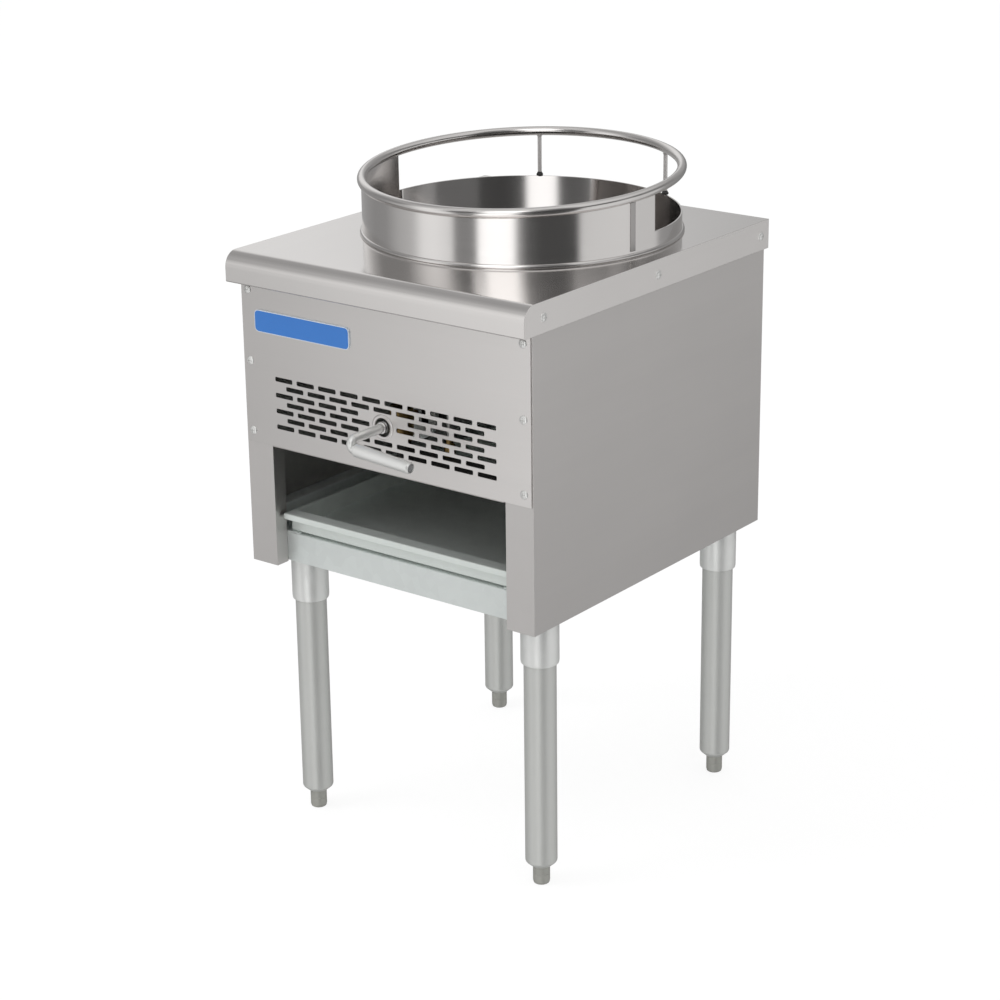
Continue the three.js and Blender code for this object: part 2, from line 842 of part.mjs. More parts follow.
// A pan whose front edge folds forwards and down into a pull.
function dripTray() {
  const lipY = trayFrontY - trayLip;
  const block = outline([
    [lipY, trayTop - trayLipDrop],
    [lipY, trayTop],
    [trayBackY, trayTop],
    [trayBackY, trayBottom],
    [trayFrontY, trayBottom],
    [trayFrontY, trayTop - sheet],
    [lipY + sheet, trayTop - sheet],
    [lipY + sheet, trayTop - trayLipDrop],
  ]);
  const rimInner = trayHalfWidth - trayRim;
  return cut(
    prismX(block, -trayHalfWidth, trayHalfWidth),
    box(
      [-trayHalfWidth + sheet, trayHalfWidth - sheet],
      [trayFrontY + sheet, trayBackY - sheet],
      [trayBottom + sheet, trayTop - sheet],
    ),
    box(
      [-rimInner, rimInner],
      [trayFrontY + trayRim, trayBackY - trayRim],
      [trayTop - 2 * sheet, trayTop + sheet],
    ),
  );
}

// ------------------------------------------------------------------ wok ring and chamber
// Slants what lies above a height, so that it follows the rim's rise to the rear.
function slanted(geometry, above) {
  const p = geometry.attributes.position;
  for (let i = 0; i < p.count; i++) {
    if (p.getZ(i) > above) p.setZ(i, p.getZ(i) + rimRise * (p.getY(i) - ringY));
  }
  return geometry;
}

function ringWall() {
  const wall = turned(
    ringProfile(ringRadius - ringSheet, ringRadius, chamberFloor + seat, wallTop),
    roundSides,
    0,
    ringY,
  );
  const beyond = ringRadius + ringSheet;
  const rearHalf = box([-beyond, beyond], [ringY, ringY + beyond], [rearWallTop, rimZ + beyond]);
  return cut(slanted(wall, rearWallTop), rearHalf);
}

function ringRim() {
  const level = new THREE.TorusGeometry(ringMid, rimRadius, rimSides, roundSides);
  return slanted(level.translate(0, ringY, rimZ), rearWallTop);
}

function rimRod(side) {
  const angle = THREE.MathUtils.degToRad(rodAngle);
  const base = rearWallTop + seat;
  const radius = rodDiameter / 2;
  const foot = rodFootDiameter / 2;
  const level = turned(
    [
      [0, base],
      [foot, base],
      [foot, base + rodFootHeight],
      [radius, base + rodFootHeight],
      [radius, wallTop],
      [0, wallTop],
    ],
    tinySides,
    side * ringMid * Math.cos(angle),
    ringY + ringMid * Math.sin(angle),
  );
  return slanted(level, base + rodFootHeight + seat);
}

function deckCollar() {
  const inner = ringRadius + seat;
  const low = deckHeight + seat;
  const top = low + collarHeight;
  return turned(
    [
      [inner, low],
      [inner + collarWidth, low],
      [inner + collarWidth, low + collarEdgeHeight],
      [inner + collarCrestWidth, top],
      [inner, top],
      [inner, low],
    ],
    roundSides,
    0,
    ringY,
  );
}

function chamberFloorPan() {
  const pan = turned(
    ringProfile(venturiRadius + seat, ringRadius + chamberFlange, chamberUnder, chamberFloor),
    roundSides,
    0,
    ringY,
  );
  const pilotHole = turned(
    discProfile(clearing(pilotTubeRadius, tinySides), chamberUnder - sheet, chamberFloor + sheet),
    tinySides,
    pilotX,
    pilotY,
  );
  return cut(pan, pilotHole);
}

// ------------------------------------------------------------------ burner
function burnerHead() {
  const baseTop = burnerBottom + burnerBase;
  const top = burnerBottom + burnerHeight;
  const groove = (burnerRadius - burnerRidges * burnerRidgeWidth) / burnerRidges;
  const profile = [
    [0, burnerBottom],
    [burnerRadius, burnerBottom],
  ];
  for (let i = 0; i < burnerRidges; i++) {
    const outer = burnerRadius - i * (burnerRidgeWidth + groove);
    const inner = outer - burnerRidgeWidth;
    profile.push([outer, top - burnerRidgeBevel], [outer - burnerRidgeBevel, top]);
    profile.push([inner + burnerRidgeBevel, top], [inner, top - burnerRidgeBevel], [inner, baseTop]);
    if (i < burnerRidges - 1) profile.push([inner - groove, baseTop]);
  }
  profile.push([0, baseTop]);
  return turned(profile, burnerSides, 0, ringY);
}

function burnerVenturi() {
  const run = bentRun(
    [
      new THREE.Vector3(0, bellY, valveHeight),
      new THREE.Vector3(0, ringY, valveHeight),
      new THREE.Vector3(0, ringY, venturiTop),
    ],
    venturiBend,
  );
  const bore = venturiRadius - venturiWall;
  const midWall = venturiRadius - venturiWall / 2;
  const tube = bar(run, venturiRadius, smallSides, venturiStep, bore);
  const flange = turned(
    ringProfile(midWall, venturiRadius + venturiFlange, venturiTop - venturiFlangeHeight, venturiTop),
    mediumSides,
    0,
    ringY,
  );
  const bell = turnedY(
    [
      [midWall, bellY],
      [bellRadius, bellY],
      [bellRadius, bellY + bellLength],
      [venturiRadius, bellY + 2 * bellLength],
      [midWall, bellY + 2 * bellLength],
      [midWall, bellY],
    ],
    mediumSides,
    0,
    valveHeight,
  );
  return join(tube, flange, bell);
}

// A turning cap on the mixing tube's mouth, with two windows that meter the air.
function airShutter() {
  const outer = bellRadius + seat + shutterSheet;
  const cap = turnedY(
    [
      [spudDiameter / 2 + seat, shutterY],
      [outer, shutterY],
      [outer, shutterY + shutterSkirt],
      [bellRadius + seat, shutterY + shutterSkirt],
      [bellRadius + seat, shutterY + shutterSheet],
      [spudDiameter / 2 + seat, shutterY + shutterSheet],
      [spudDiameter / 2 + seat, shutterY],
    ],
    mediumSides,
    0,
    valveHeight,
  );
  const windows = [-1, 1].map((side) => {
    const inner = spudDiameter / 2 + 2 * shutterSheet;
    const outerEdge = inner + shutterWindow;
    return box(
      ordered(side * inner, side * outerEdge),
      [shutterY - sheet, shutterY + shutterSheet + seat / 2],
      [valveHeight - shutterWindow, valveHeight + shutterWindow],
    );
  });
  return cut(cap, ...windows);
}

// A pressed cross member, open underneath, that carries the chamber floor and the burner.
function burnerBracket() {
  const half = bracketWidth / 2;
  const bottom = bracketTop - bracketHeight;
  const tubeHole = discProfile(clearing(venturiRadius, mediumSides), bottom, bracketTop + sheet);
  return cut(
    box([-railX, railX], [ringY - half, ringY + half], [bottom, bracketTop]),
    box(
      [-railX + sheet, railX - sheet],
      [ringY - half + sheet, ringY + half - sheet],
      [bottom - sheet, bracketTop - sheet],
    ),
    turned(tubeHole, mediumSides, 0, ringY),
  );
}

// ------------------------------------------------------------------ gas train
function valveBody() {
  const bodyHalf = valveLength / 2;
  const body = discProfile(valveRadius, valveHeight - bodyHalf, valveHeight + bodyHalf);
  const barrel = turned(body, mediumSides, 0, valveY);
  const boss = turned(discProfile(valveBossDiameter / 2, valveBottom, valveHeight), smallSides, 0, valveY);
  const neckRadius = bonnetDiameter / 2 + valveNeckWall;
  const neck = turnedY(discProfile(neckRadius, bonnetBackY + seat, valveY), smallSides, 0, valveHeight);
  const spud = turnedY(discProfile(spudDiameter / 2, valveY, spudTipY), smallSides, 0, valveHeight);
  const stemWell = turnedY(
    discProfile(stemBore, bonnetBackY - sheet, leverBackY + stemLength - leverBore + sheet),
    smallSides,
    0,
    valveHeight,
  );
  return cut(join(barrel, boss, neck, spud), stemWell);
}

function valveBonnet() {
  const wall = ringProfile(stemBore, bonnetDiameter / 2, bonnetFrontY, bonnetBackY);
  return turnedY(wall, mediumSides, 0, valveHeight);
}

function valveStem() {
  const tip = leverBackY - leverBore + seat;
  return turnedY(discProfile(stemDiameter / 2, tip, tip + stemLength), smallSides, 0, valveHeight);
}

function gasPipe() {
  const run = bentRun(
    [
      new THREE.Vector3(inletX, rearmostY, pipeZ),
      new THREE.Vector3(inletX, valveY, pipeZ),
      new THREE.Vector3(0, valveY, pipeZ),
      new THREE.Vector3(0, valveY, valveBottom - seat),
    ],
    pipeBend,
  );
  return bar(run, pipeRadius, tinySides, pipeStep);
}

function inletNut() {
  const low = rearY + seat;
  const outer = nutFlats / 2 / Math.cos(Math.PI / 6);
  const hexagon = turnedY(discProfile(outer, low, low + nutLength), 6, inletX, pipeZ);
  const bore = turnedY(
    discProfile(clearing(pipeRadius, mediumSides), low - sheet, low + nutLength + sheet),
    mediumSides,
    inletX,
    pipeZ,
  );
  return cut(hexagon, bore);
}

function pilotValve() {
  const base = pipeZ + pipeRadius + seat;
  const neck = pilotTubeRadius + pilotNeckWall;
  return turned(
    [
      [0, base],
      [pilotValveDiameter / 2, base],
      [pilotValveDiameter / 2, base + pilotValveShoulder],
      [neck, base + pilotValveShoulder + pilotValveBevel],
      [neck, base + pilotValveHeight],
      [0, base + pilotValveHeight],
    ],
    smallSides,
    pilotOffset,
    valveY,
  );
}

function pilotTube() {
  const start = pipeZ + pipeRadius + pilotValveHeight + 2 * seat;
  const level = start + pilotTubeRise;
  const run = bentRun(
    [
      new THREE.Vector3(pilotOffset, valveY, start),
      new THREE.Vector3(pilotOffset, valveY, level),
      new THREE.Vector3(pilotX, pilotY, level),
      new THREE.Vector3(pilotX, pilotY, chamberFloor),
    ],
    pilotTubeBend,
  );
  return bar(run, pilotTubeRadius, pilotTubeSides, pilotTubeStep);
}

function pilotBurner() {
  const base = chamberFloor + seat;
  const radius = pilotBurnerDiameter / 2;
  return turned(
    [
      [0, base],
      [pilotFlangeDiameter / 2, base],
      [pilotFlangeDiameter / 2, base + pilotFlangeHeight],
      [radius, base + pilotFlangeHeight],
      [radius, base + pilotBurnerHeight - pilotTipHeight],
      [pilotTipDiameter / 2, base + pilotBurnerHeight],
      [0, base + pilotBurnerHeight],
    ],
    smallSides,
    pilotX,
    pilotY,
  );
}

// ------------------------------------------------------------------ lever
// Places a piece made along +X from the origin onto the drooping axis of the grip.
function ontoGripAxis(geometry) {
  return geometry.rotateY(THREE.MathUtils.degToRad(gripDroop)).translate(0, gripY, gripZ);
}

// A bar that comes straight out from the stem, steps down and turns along the grip's axis.
function leverArm() {
  const radius = leverRodDiameter / 2;
  const knuckle = (z) => new THREE.SphereGeometry(radius, smallSides, tinySides).translate(0, gripY, z);
  const outRod = turnedY(discProfile(radius, gripY, leverBackY), smallSides, 0, valveHeight);
  const stepRod = turned(discProfile(radius, gripZ, valveHeight), smallSides, 0, gripY);
  const spigotEnd = gripStart + gripSocketDepth - seat;
  const spigot = ontoGripAxis(turnedX(discProfile(radius, 0, spigotEnd), smallSides, 0, 0));
  const bore = turnedY(
    discProfile(stemBore, leverBackY - leverBore, leverBackY + sheet),
    smallSides,
    0,
    valveHeight,
  );
  return cut(join(outRod, knuckle(valveHeight), stepRod, knuckle(gripZ), spigot), bore);
}

function leverGrip() {
  const bore = leverRodDiameter / 2 + seat;
  const plugBore = gripRadiusOuter - gripPlugWall;
  const end = gripStart + gripLength;
  return ontoGripAxis(
    turnedX(
      [
        [bore, gripStart],
        [gripRadiusInner - gripBevel, gripStart],
        [gripRadiusInner, gripStart + gripBevel],
        [gripRadiusOuter, end],
        [plugBore, end],
        [plugBore, end - gripPlugLength],
        [0, end - gripPlugLength],
        [0, gripStart + gripSocketDepth],
        [bore, gripStart + gripSocketDepth],
        [bore, gripStart],
      ],
      gripSides,
      0,
      0,
    ),
  );
}

function gripPlug() {
  const radius = gripRadiusOuter - gripPlugWall - seat;
  const end = gripStart + gripLength;
  const plug = discProfile(radius, end - gripPlugLength + seat, end - gripPlugInset);
  return ontoGripAxis(turnedX(plug, gripSides, 0, 0));
}

// ------------------------------------------------------------------ the assembly
addPiece("deck_top", "polished", deckTop());
for (const [name, side] of sides) addPiece(`side_panel_${name}`, "side", sidePanel(side));
addPiece("back_panel", "zinc", backPanel());
addPiece("front_panel", "panel", frontPanel());
addPiece("name_plate", "plate", namePlate());
addPiece("stem_bezel", "chrome", stemBezel());
addScrews();

addPiece("front_lower_rail", "zinc", rail(frontRailY, 1));
addPiece("rear_lower_rail", "zinc", rail(rearRailY, -1));
for (const [name, side] of sides) addPiece(`base_channel_${name}`, "zinc", baseChannel(side));
addLegs();

for (const [name, side] of sides) addPiece(`tray_runner_${name}`, "zinc", trayRunner(side));
addPiece("drip_tray", "tray", dripTray());

addPiece("wok_ring_wall", "polished", ringWall());
addPiece("wok_ring_rim", "polished", ringRim());
for (const [name, side] of sides) addPiece(`rim_rod_${name}`, "polished", rimRod(side));
addPiece("deck_collar", "polished", deckCollar());
addPiece("chamber_floor", "zinc", chamberFloorPan());

addPiece("burner_head", "iron", burnerHead());
addPiece("burner_venturi", "iron", burnerVenturi());
addPiece("air_shutter", "zinc", airShutter());
addPiece("burner_bracket", "zinc", burnerBracket());

addPiece("gas_valve_body", "brass", valveBody());
addPiece("valve_bonnet", "chrome", valveBonnet());
addPiece("valve_stem", "brass", valveStem());
addPiece("gas_pipe", "pipe", gasPipe());
addPiece("gas_inlet_nut", "pipe", inletNut());
addPiece("pilot_valve", "brass", pilotValve());
addPiece("pilot_tube", "zinc", pilotTube());
addPiece("pilot_burner", "iron", pilotBurner());

addPiece("lever_arm", "chrome", leverArm());
addPiece("lever_grip", "chrome", leverGrip());
addPiece("grip_plug", "plug", gripPlug());

export default range;
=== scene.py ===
"""A floor-standing wok range, dressed for a plain studio photograph.

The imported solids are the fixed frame: every piece takes its place from them, in metres, with +Z up and
the front facing -Y. Each sub-assembly is a class that builds its own meshes and gives them a finish.
"""

import sys

import json
import logging
import math
from collections.abc import Callable, Sequence
from dataclasses import dataclass
from enum import Enum
from functools import cache

import bmesh
import bpy
from mathutils import Matrix, Vector

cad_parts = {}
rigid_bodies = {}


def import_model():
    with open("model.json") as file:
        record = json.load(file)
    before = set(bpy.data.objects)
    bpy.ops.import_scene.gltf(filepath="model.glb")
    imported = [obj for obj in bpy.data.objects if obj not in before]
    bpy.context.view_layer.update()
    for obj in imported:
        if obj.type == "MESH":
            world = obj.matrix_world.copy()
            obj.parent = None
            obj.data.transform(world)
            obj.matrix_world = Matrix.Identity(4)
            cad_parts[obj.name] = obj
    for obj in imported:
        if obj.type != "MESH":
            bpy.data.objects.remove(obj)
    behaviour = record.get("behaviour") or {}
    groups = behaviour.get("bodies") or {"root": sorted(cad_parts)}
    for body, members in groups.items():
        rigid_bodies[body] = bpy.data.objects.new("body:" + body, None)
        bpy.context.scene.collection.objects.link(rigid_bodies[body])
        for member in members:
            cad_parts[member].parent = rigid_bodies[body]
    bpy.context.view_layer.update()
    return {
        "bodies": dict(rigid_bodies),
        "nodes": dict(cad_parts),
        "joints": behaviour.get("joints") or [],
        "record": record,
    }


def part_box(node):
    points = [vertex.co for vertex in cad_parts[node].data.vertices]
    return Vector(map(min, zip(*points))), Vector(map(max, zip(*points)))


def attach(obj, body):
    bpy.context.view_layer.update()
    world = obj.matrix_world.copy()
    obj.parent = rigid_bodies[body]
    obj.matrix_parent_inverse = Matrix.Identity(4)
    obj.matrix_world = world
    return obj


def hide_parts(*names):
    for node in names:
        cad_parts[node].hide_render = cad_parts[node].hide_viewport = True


LOG = logging.getLogger("wok_range")

MM = 0.001
SIDES = {"left": -1, "right": 1}  # with the sign of their X
ENDS = ("front", "rear")
SEAT = 0.3 * MM  # gap between pieces that rest on each other

Colour = tuple[float, float, float, float]
Outline = list[tuple[float, float]]
Nodes = dict[str, bpy.types.Object]


class Axis(Enum):
    """The axis that a piece is turned round, or that a grain runs along."""

    X = "x"
    Y = "y"
    Z = "z"
    ROUND = "round"


class Body(Enum):
    """The bodies that pieces ride on."""

    CABINET = "cabinet"
    LEVER = "lever"
    TRAY = "tray"
    SHUTTER = "shutter"
    FOOT_FRONT_LEFT = "foot_front_left"
    FOOT_FRONT_RIGHT = "foot_front_right"
    FOOT_REAR_LEFT = "foot_rear_left"
    FOOT_REAR_RIGHT = "foot_rear_right"


def middle(node: str) -> Vector:
    """The middle of a CAD node's box."""
    low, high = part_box(node)
    return (low + high) / 2


def half_width(node: str) -> float:
    """Half of a CAD node's width, which is the radius of an upright round one."""
    low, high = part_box(node)
    return (high.x - low.x) / 2


def grey(level: float) -> Colour:
    """A grey."""
    return level, level, level, 1.0


def srgb(*channels: int) -> Colour:
    """Turns an 8-bit display colour into the linear colour that shaders use.

    Args:
        channels: Red, green and blue, 0 to 255.

    Returns:
        The linear colour with an alpha of 1.
    """
    shares = (value / 255 for value in channels)
    linear = (share / 12.92 if share <= 0.04045 else ((share + 0.055) / 1.055) ** 2.4 for share in shares)
    return *linear, 1.0


def shade(colour: Colour, factor: float) -> Colour:
    """The colour made darker or lighter by a factor."""
    return colour[0] * factor, colour[1] * factor, colour[2] * factor, 1.0


# ---------------------------------------------------------------------------- node expressions
def _operator(operation: str) -> "Callable[[Value, Value | float], Value]":
    """An arithmetic method that adds a Math node."""
    return lambda value, other: value.math(operation, other)


class Value:
    """A node's output. Python arithmetic on it adds Math nodes."""

    __add__ = _operator("ADD")
    __sub__ = _operator("SUBTRACT")
    __mul__ = _operator("MULTIPLY")
    __truediv__ = _operator("DIVIDE")

    def __init__(self, tree: "NodeTree", socket: bpy.types.NodeSocket) -> None:
        """Wraps a socket of a node tree."""
        self.tree = tree
        self.socket = socket

    def __rsub__(self, other: float) -> "Value":
        """Difference from a number."""
        return self.tree.math("SUBTRACT", other, self)

    def math(self, operation: str, *others: "Value | float") -> "Value":
        """Adds a Math node whose first input is this value."""
        return self.tree.math(operation, self, *others)

    def about(self, reach: float) -> "Value":
        """A value from 0 to 1 made to swing round zero, half of the reach to each side."""
        return (self - 0.5) * reach

    def ramp(self, low: float, high: float) -> "Value":
        """A smooth step of this value from 0 at low to 1 at high."""
        sockets = {"Value": self, "From Min": low, "From Max": high}
        return self.tree.value("ShaderNodeMapRange", sockets, interpolation_type="SMOOTHSTEP")


class NodeTree:
    """A node tree that is built by expressions, and by one method for any other node."""

    def __init__(self, tree: bpy.types.NodeTree) -> None:
        """Empties the tree and keeps it."""
        self.tree = tree
        tree.nodes.clear()

    def node(self, kind: str, sockets: dict | None = None, **settings: object) -> bpy.types.Node:
        """Adds a node.

        Args:
            kind: The node's type.
            sockets: Its inputs' values, links or lists of links, by name or place.
            settings: Its properties, such as a Math node's operation.

        Returns:
            The node.
        """
        node = self.tree.nodes.new(kind)
        for name, value in settings.items():
            setattr(node, name, value)
        for name, value in (sockets or {}).items():
            for item in value if isinstance(value, list) else [value]:
                if isinstance(item, Value):
                    self.tree.links.new(item.socket, node.inputs[name])
                else:
                    node.inputs[name].default_value = item
        return node

    def value(self, kind: str, sockets: dict | None = None, out: int | str = 0, **settings: object) -> Value:
        """Adds a node and wraps one of its outputs."""
        return Value(self, self.node(kind, sockets, **settings).outputs[out])

    def math(self, operation: str, *operands: Value | float) -> Value:
        """Adds a Math node and returns its result."""
        return self.value("ShaderNodeMath", dict(enumerate(operands)), operation=operation)

    def vector(self, *parts: Value | float) -> Value:
        """A vector of three parts."""
        return self.value("ShaderNodeCombineXYZ", dict(enumerate(parts)))

    def split(self, vector: Value) -> list[Value]:
        """The three parts of a vector."""
        return [Value(self, part) for part in self.node("ShaderNodeSeparateXYZ", {0: vector}).outputs]


class Shader(NodeTree):
    """The node tree of a material or of the world."""

    MIX_FACTOR, MIX_A, MIX_B, MIX_RESULT = 0, 6, 7, 2  # places of a colour Mix node's sockets

    def place(self) -> Value:
        """The object coordinates, in metres."""
        return self.value("ShaderNodeTexCoord", out="Object")

    def ray(self, kind: str) -> Value:
        """Whether a ray is of a kind, such as Glossy."""
        return self.value("ShaderNodeLightPath", out=f"Is {kind} Ray")

    def mix(self, factor: Value | float, first: Value | Colour, second: Value | Colour) -> Value:
        """Mixes two colours, where a factor of 0 gives the first."""
        sockets = {self.MIX_FACTOR: factor, self.MIX_A: first, self.MIX_B: second}
        return self.value("ShaderNodeMix", sockets, self.MIX_RESULT, data_type="RGBA")

    def noise(self, vector: Value, scale: float, detail: float = 2.0, roughness: float = 0.5) -> Value:
        """Noise from 0 to 1 at a vector."""
        sockets = {"Vector": vector, "Scale": scale, "Detail": detail, "Roughness": roughness}
        return self.value("ShaderNodeTexNoise", sockets)

    def bump(self, height: Value, distance: float, base: Value | None = None) -> Value:
        """A normal from a height, in metres at a height of 1, on top of a base normal."""
        sockets = {"Height": height, "Distance": distance} | ({"Normal": base} if base else {})
        return self.value("ShaderNodeBump", sockets)

    def vector_math(self, operation: str, *operands: Value) -> Value:
        """Adds a Vector Math node and returns its vector."""
        return self.value("ShaderNodeVectorMath", dict(enumerate(operands)), operation=operation)


# ---------------------------------------------------------------------------- finishes
@dataclass(frozen=True)
class Surface:
    """A procedural surface. Each kind of it says what its shader is fed with."""

    colour: Colour

    def sockets(self, shader: Shader) -> dict:
        """The inputs of the surface's Principled BSDF."""
        raise NotImplementedError

    def material(self, name: str) -> bpy.types.Material:
        """Makes a material of the surface.

        Args:
            name: The material's name.

        Returns:
            The material.
        """
        material = bpy.data.materials.new(name)
        material.use_nodes = True
        shader = Shader(material.node_tree)
        surface = shader.value("ShaderNodeBsdfPrincipled", self.sockets(shader))
        shader.node("ShaderNodeOutputMaterial", {"Surface": surface})
        return material


@dataclass(frozen=True)
class Steel(Surface):
    """Brushed or polished sheet: fine grain, broad streaks, faint handling marks and, where it is asked for,
    painted light that grows to the right and upward.
    """

    roughness: float
    grain: Axis
    streak: float = 0.05  # how much lighter or darker the broad streaks are
    smudge: float = 0.05  # how much the handling marks change the roughness
    metallic: float = 1.0
    soot: float = 0.0  # how far heat and use have darkened it
    painted_light_slope: tuple[float, float] = (0.0, 0.0)  # painted light: how much lighter it gets in a metre to the right, and up
    lean_out: float = 0.0  # how far an outer wall's sheen is turned up
    lean_in: float = 0.0  # and the rear inner wall's

    FINE = (2.0, 900.0)  # noise cells in a metre along the grain, and across it
    BROAD = (0.7, 26.0)  # and of the streaks
    ARC = 0.2  # metres along a round grain in a radian
    GRAIN_DEPTH = 0.01 * MM
    PAINTED_LIGHT_HEIGHT = 0.56  # where the painted light's rise upward is zero
    LEAN_START = 0.01  # metres behind the ring's axis over which the inner wall's lean sets in
    LEAN_END = (-0.045, -0.015)  # X between which it fades out, a little left of the middle
    SOOT = srgb(64, 58, 54)

    def _grained(self, shader: Shader, along: float, across: float) -> Value:
        """A noise vector that is stretched along the grain.

        Args:
            shader: The material's shader.
            along: Noise cells in a metre along the grain.
            across: Noise cells in a metre across it.

        Returns:
            The vector.
        """
        x, y, z = shader.split(shader.place())
        if self.grain is Axis.ROUND:
            ahead = y - middle("wok_ring_wall").y
            angle = ahead.math("ARCTAN2", x)
            radius = (x * x + ahead * ahead).math("SQRT")
            return shader.vector(angle * (self.ARC * along), radius * across, z * across)
        scales = (along if axis is self.grain else across for axis in (Axis.X, Axis.Y, Axis.Z))
        return shader.vector(*(part * scale for part, scale in zip((x, y, z), scales)))

    def _leaning(self, shader: Shader) -> Value:
        """The normal of a slightly flared ring, turned up by the lean of its outer or inner wall.

        Args:
            shader: The material's shader.

        Returns:
            The normal.
        """
        x, y, _ = shader.split(shader.place())
        ahead = y - middle("wok_ring_wall").y
        normal = shader.value("ShaderNodeNewGeometry", out="Normal")
        normal_x, normal_y, _ = shader.split(normal)
        outward = (normal_x * x + normal_y * ahead).math("GREATER_THAN", 0.0)
        rear = ahead.ramp(0.0, self.LEAN_START) * (1.0 - x.ramp(*self.LEAN_END))
        lean = outward * self.lean_out + (1.0 - outward) * rear * self.lean_in
        leaning = shader.vector_math("ADD", normal, shader.vector(0.0, 0.0, lean))
        return shader.vector_math("NORMALIZE", leaning)

    def sockets(self, shader: Shader) -> dict:
        """The inputs of the surface's Principled BSDF.

        Args:
            shader: The material's shader.

        Returns:
            The sockets' values, by name.
        """
        fine = shader.noise(self._grained(shader, *self.FINE), 1.0, 3.0, 0.6)
        broad = shader.noise(self._grained(shader, *self.BROAD), 1.0, 4.0, 0.65)
        place = shader.place()
        cloud = shader.noise(place, 5.5, 3.0, 0.55)
        tone = broad.about(2 * self.streak) + fine.about(self.streak) + 0.5 + cloud.about(3 * self.smudge)
        # painted light: the tone is made lighter to the right and upward, standing in for the studio's uneven
        # light
        if any(self.painted_light_slope):
            x, _, z = shader.split(place)
            tone = tone + x * self.painted_light_slope[0] + (z - self.PAINTED_LIGHT_HEIGHT) * self.painted_light_slope[1]
        colour = shader.mix(tone, shade(self.colour, 0.72), shade(self.colour, 1.28))
        if self.soot:
            patch = shader.noise(place, 14.0, 5.0, 0.6).ramp(0.35, 0.8) * self.soot
            colour = shader.mix(patch, colour, self.SOOT)
        base = self._leaning(shader) if self.lean_out or self.lean_in else None
        return {
            "Base Color": colour,
            "Roughness": cloud.about(2 * self.smudge) + fine.about(0.1) + self.roughness,
            "Metallic": self.metallic,
            "Normal": shader.bump(fine + broad.about(0.5), self.GRAIN_DEPTH, base),
        }


@dataclass(frozen=True)
class Galvanised(Surface):
    """Zinc-coated sheet with a faint spangle and a dull bloom."""

    roughness: float = 0.46
    spangle: float = 0.08
    grime: float = 0.12
    metallic: float = 0.85

    CELLS = 70.0  # spangles in a metre
    SKIN_DEPTH = 0.03 * MM

    def sockets(self, shader: Shader) -> dict:
        """The inputs of the surface's Principled BSDF.

        Args:
            shader: The material's shader.

        Returns:
            The sockets' values, by name.
        """
        place = shader.place()
        warp = shader.noise(place, 40.0)
        cells = shader.value("ShaderNodeTexVoronoi", {"Vector": place, "Scale": self.CELLS}, "Color")
        flake = shader.split(cells)[0]
        cloud = shader.noise(place, 9.0, 4.0, 0.6)
        tone = flake.about(self.spangle) + warp.about(0.06) + 0.5
        colour = shader.mix(tone, shade(self.colour, 0.6), shade(self.colour, 1.4))
        return {
            "Base Color": shader.mix(cloud.ramp(0.5, 0.85) * self.grime, colour, shade(self.colour, 0.35)),
            "Roughness": flake.about(0.12) + cloud.about(0.2) + self.roughness,
            "Metallic": self.metallic,
            "Normal": shader.bump(warp + flake * 0.3, self.SKIN_DEPTH),
        }


@dataclass(frozen=True)
class Casting(Surface):
    """Rough dark iron with a sandy skin and a little rust in the hollows."""

    rust: Colour
    roughness: float = 0.72
    rust_share: float = 0.35
    metallic: float = 0.35

    SKIN_DEPTH = 0.28 * MM

    def sockets(self, shader: Shader) -> dict:
        """The inputs of the surface's Principled BSDF.

        Args:
            shader: The material's shader.

        Returns:
            The sockets' values, by name.
        """
        place = shader.place()
        sand = shader.noise(place, 900.0, 3.0, 0.7)
        lumps = shader.noise(place, 140.0, 3.0)
        patch = shader.noise(place, 22.0, 5.0, 0.65)
        colour = shader.mix(sand, shade(self.colour, 0.7), shade(self.colour, 1.35))
        return {
            "Base Color": shader.mix(patch.ramp(0.55, 0.75) * self.rust_share, colour, self.rust),
            "Roughness": lumps.about(0.2) + self.roughness,
            "Metallic": self.metallic,
            "Normal": shader.bump(sand * 0.5 + lumps, self.SKIN_DEPTH),
        }


@dataclass(frozen=True)
class Turned(Surface):
    """Machined or plated metal with faint tool marks and tarnish."""

    tarnish: Colour
    roughness: float

    TARNISH_SHARE = 0.2
    MARK_DEPTH = 0.006 * MM

    def sockets(self, shader: Shader) -> dict:
        """The inputs of the surface's Principled BSDF.

        Args:
            shader: The material's shader.

        Returns:
            The sockets' values, by name.
        """
        place = shader.place()
        cloud = shader.noise(place, 35.0, 4.0, 0.6)
        grain = shader.noise(place, 1600.0)
        return {
            "Base Color": shader.mix(cloud.ramp(0.45, 0.8) * self.TARNISH_SHARE, self.colour, self.tarnish),
            "Roughness": cloud.about(0.12) + grain.about(0.05) + self.roughness,
            "Metallic": 1.0,
            "Normal": shader.bump(grain, self.MARK_DEPTH),
        }


@dataclass(frozen=True)
class Coating(Surface):
    """Enamel, paint or moulded plastic: a coloured skin with a fine texture."""

    roughness: float
    coat: float = 0.0
    mottle: float = 0.06

    TEXTURE_DEPTH = 0.02 * MM

    def sockets(self, shader: Shader) -> dict:
        """The inputs of the surface's Principled BSDF.

        Args:
            shader: The material's shader.

        Returns:
            The sockets' values, by name.
        """
        place = shader.place()
        cloud = shader.noise(place, 30.0, 4.0, 0.6)
        skin = shader.noise(place, 700.0)
        tone = cloud.about(4 * self.mottle) + 0.5
        return {
            "Base Color": shader.mix(tone, shade(self.colour, 0.8), shade(self.colour, 1.2)),
            "Roughness": skin.about(0.1) + cloud.about(0.08) + self.roughness,
            "Coat Weight": self.coat,
            "Normal": shader.bump(skin, self.TEXTURE_DEPTH),
        }


STEEL = srgb(222, 219, 217)


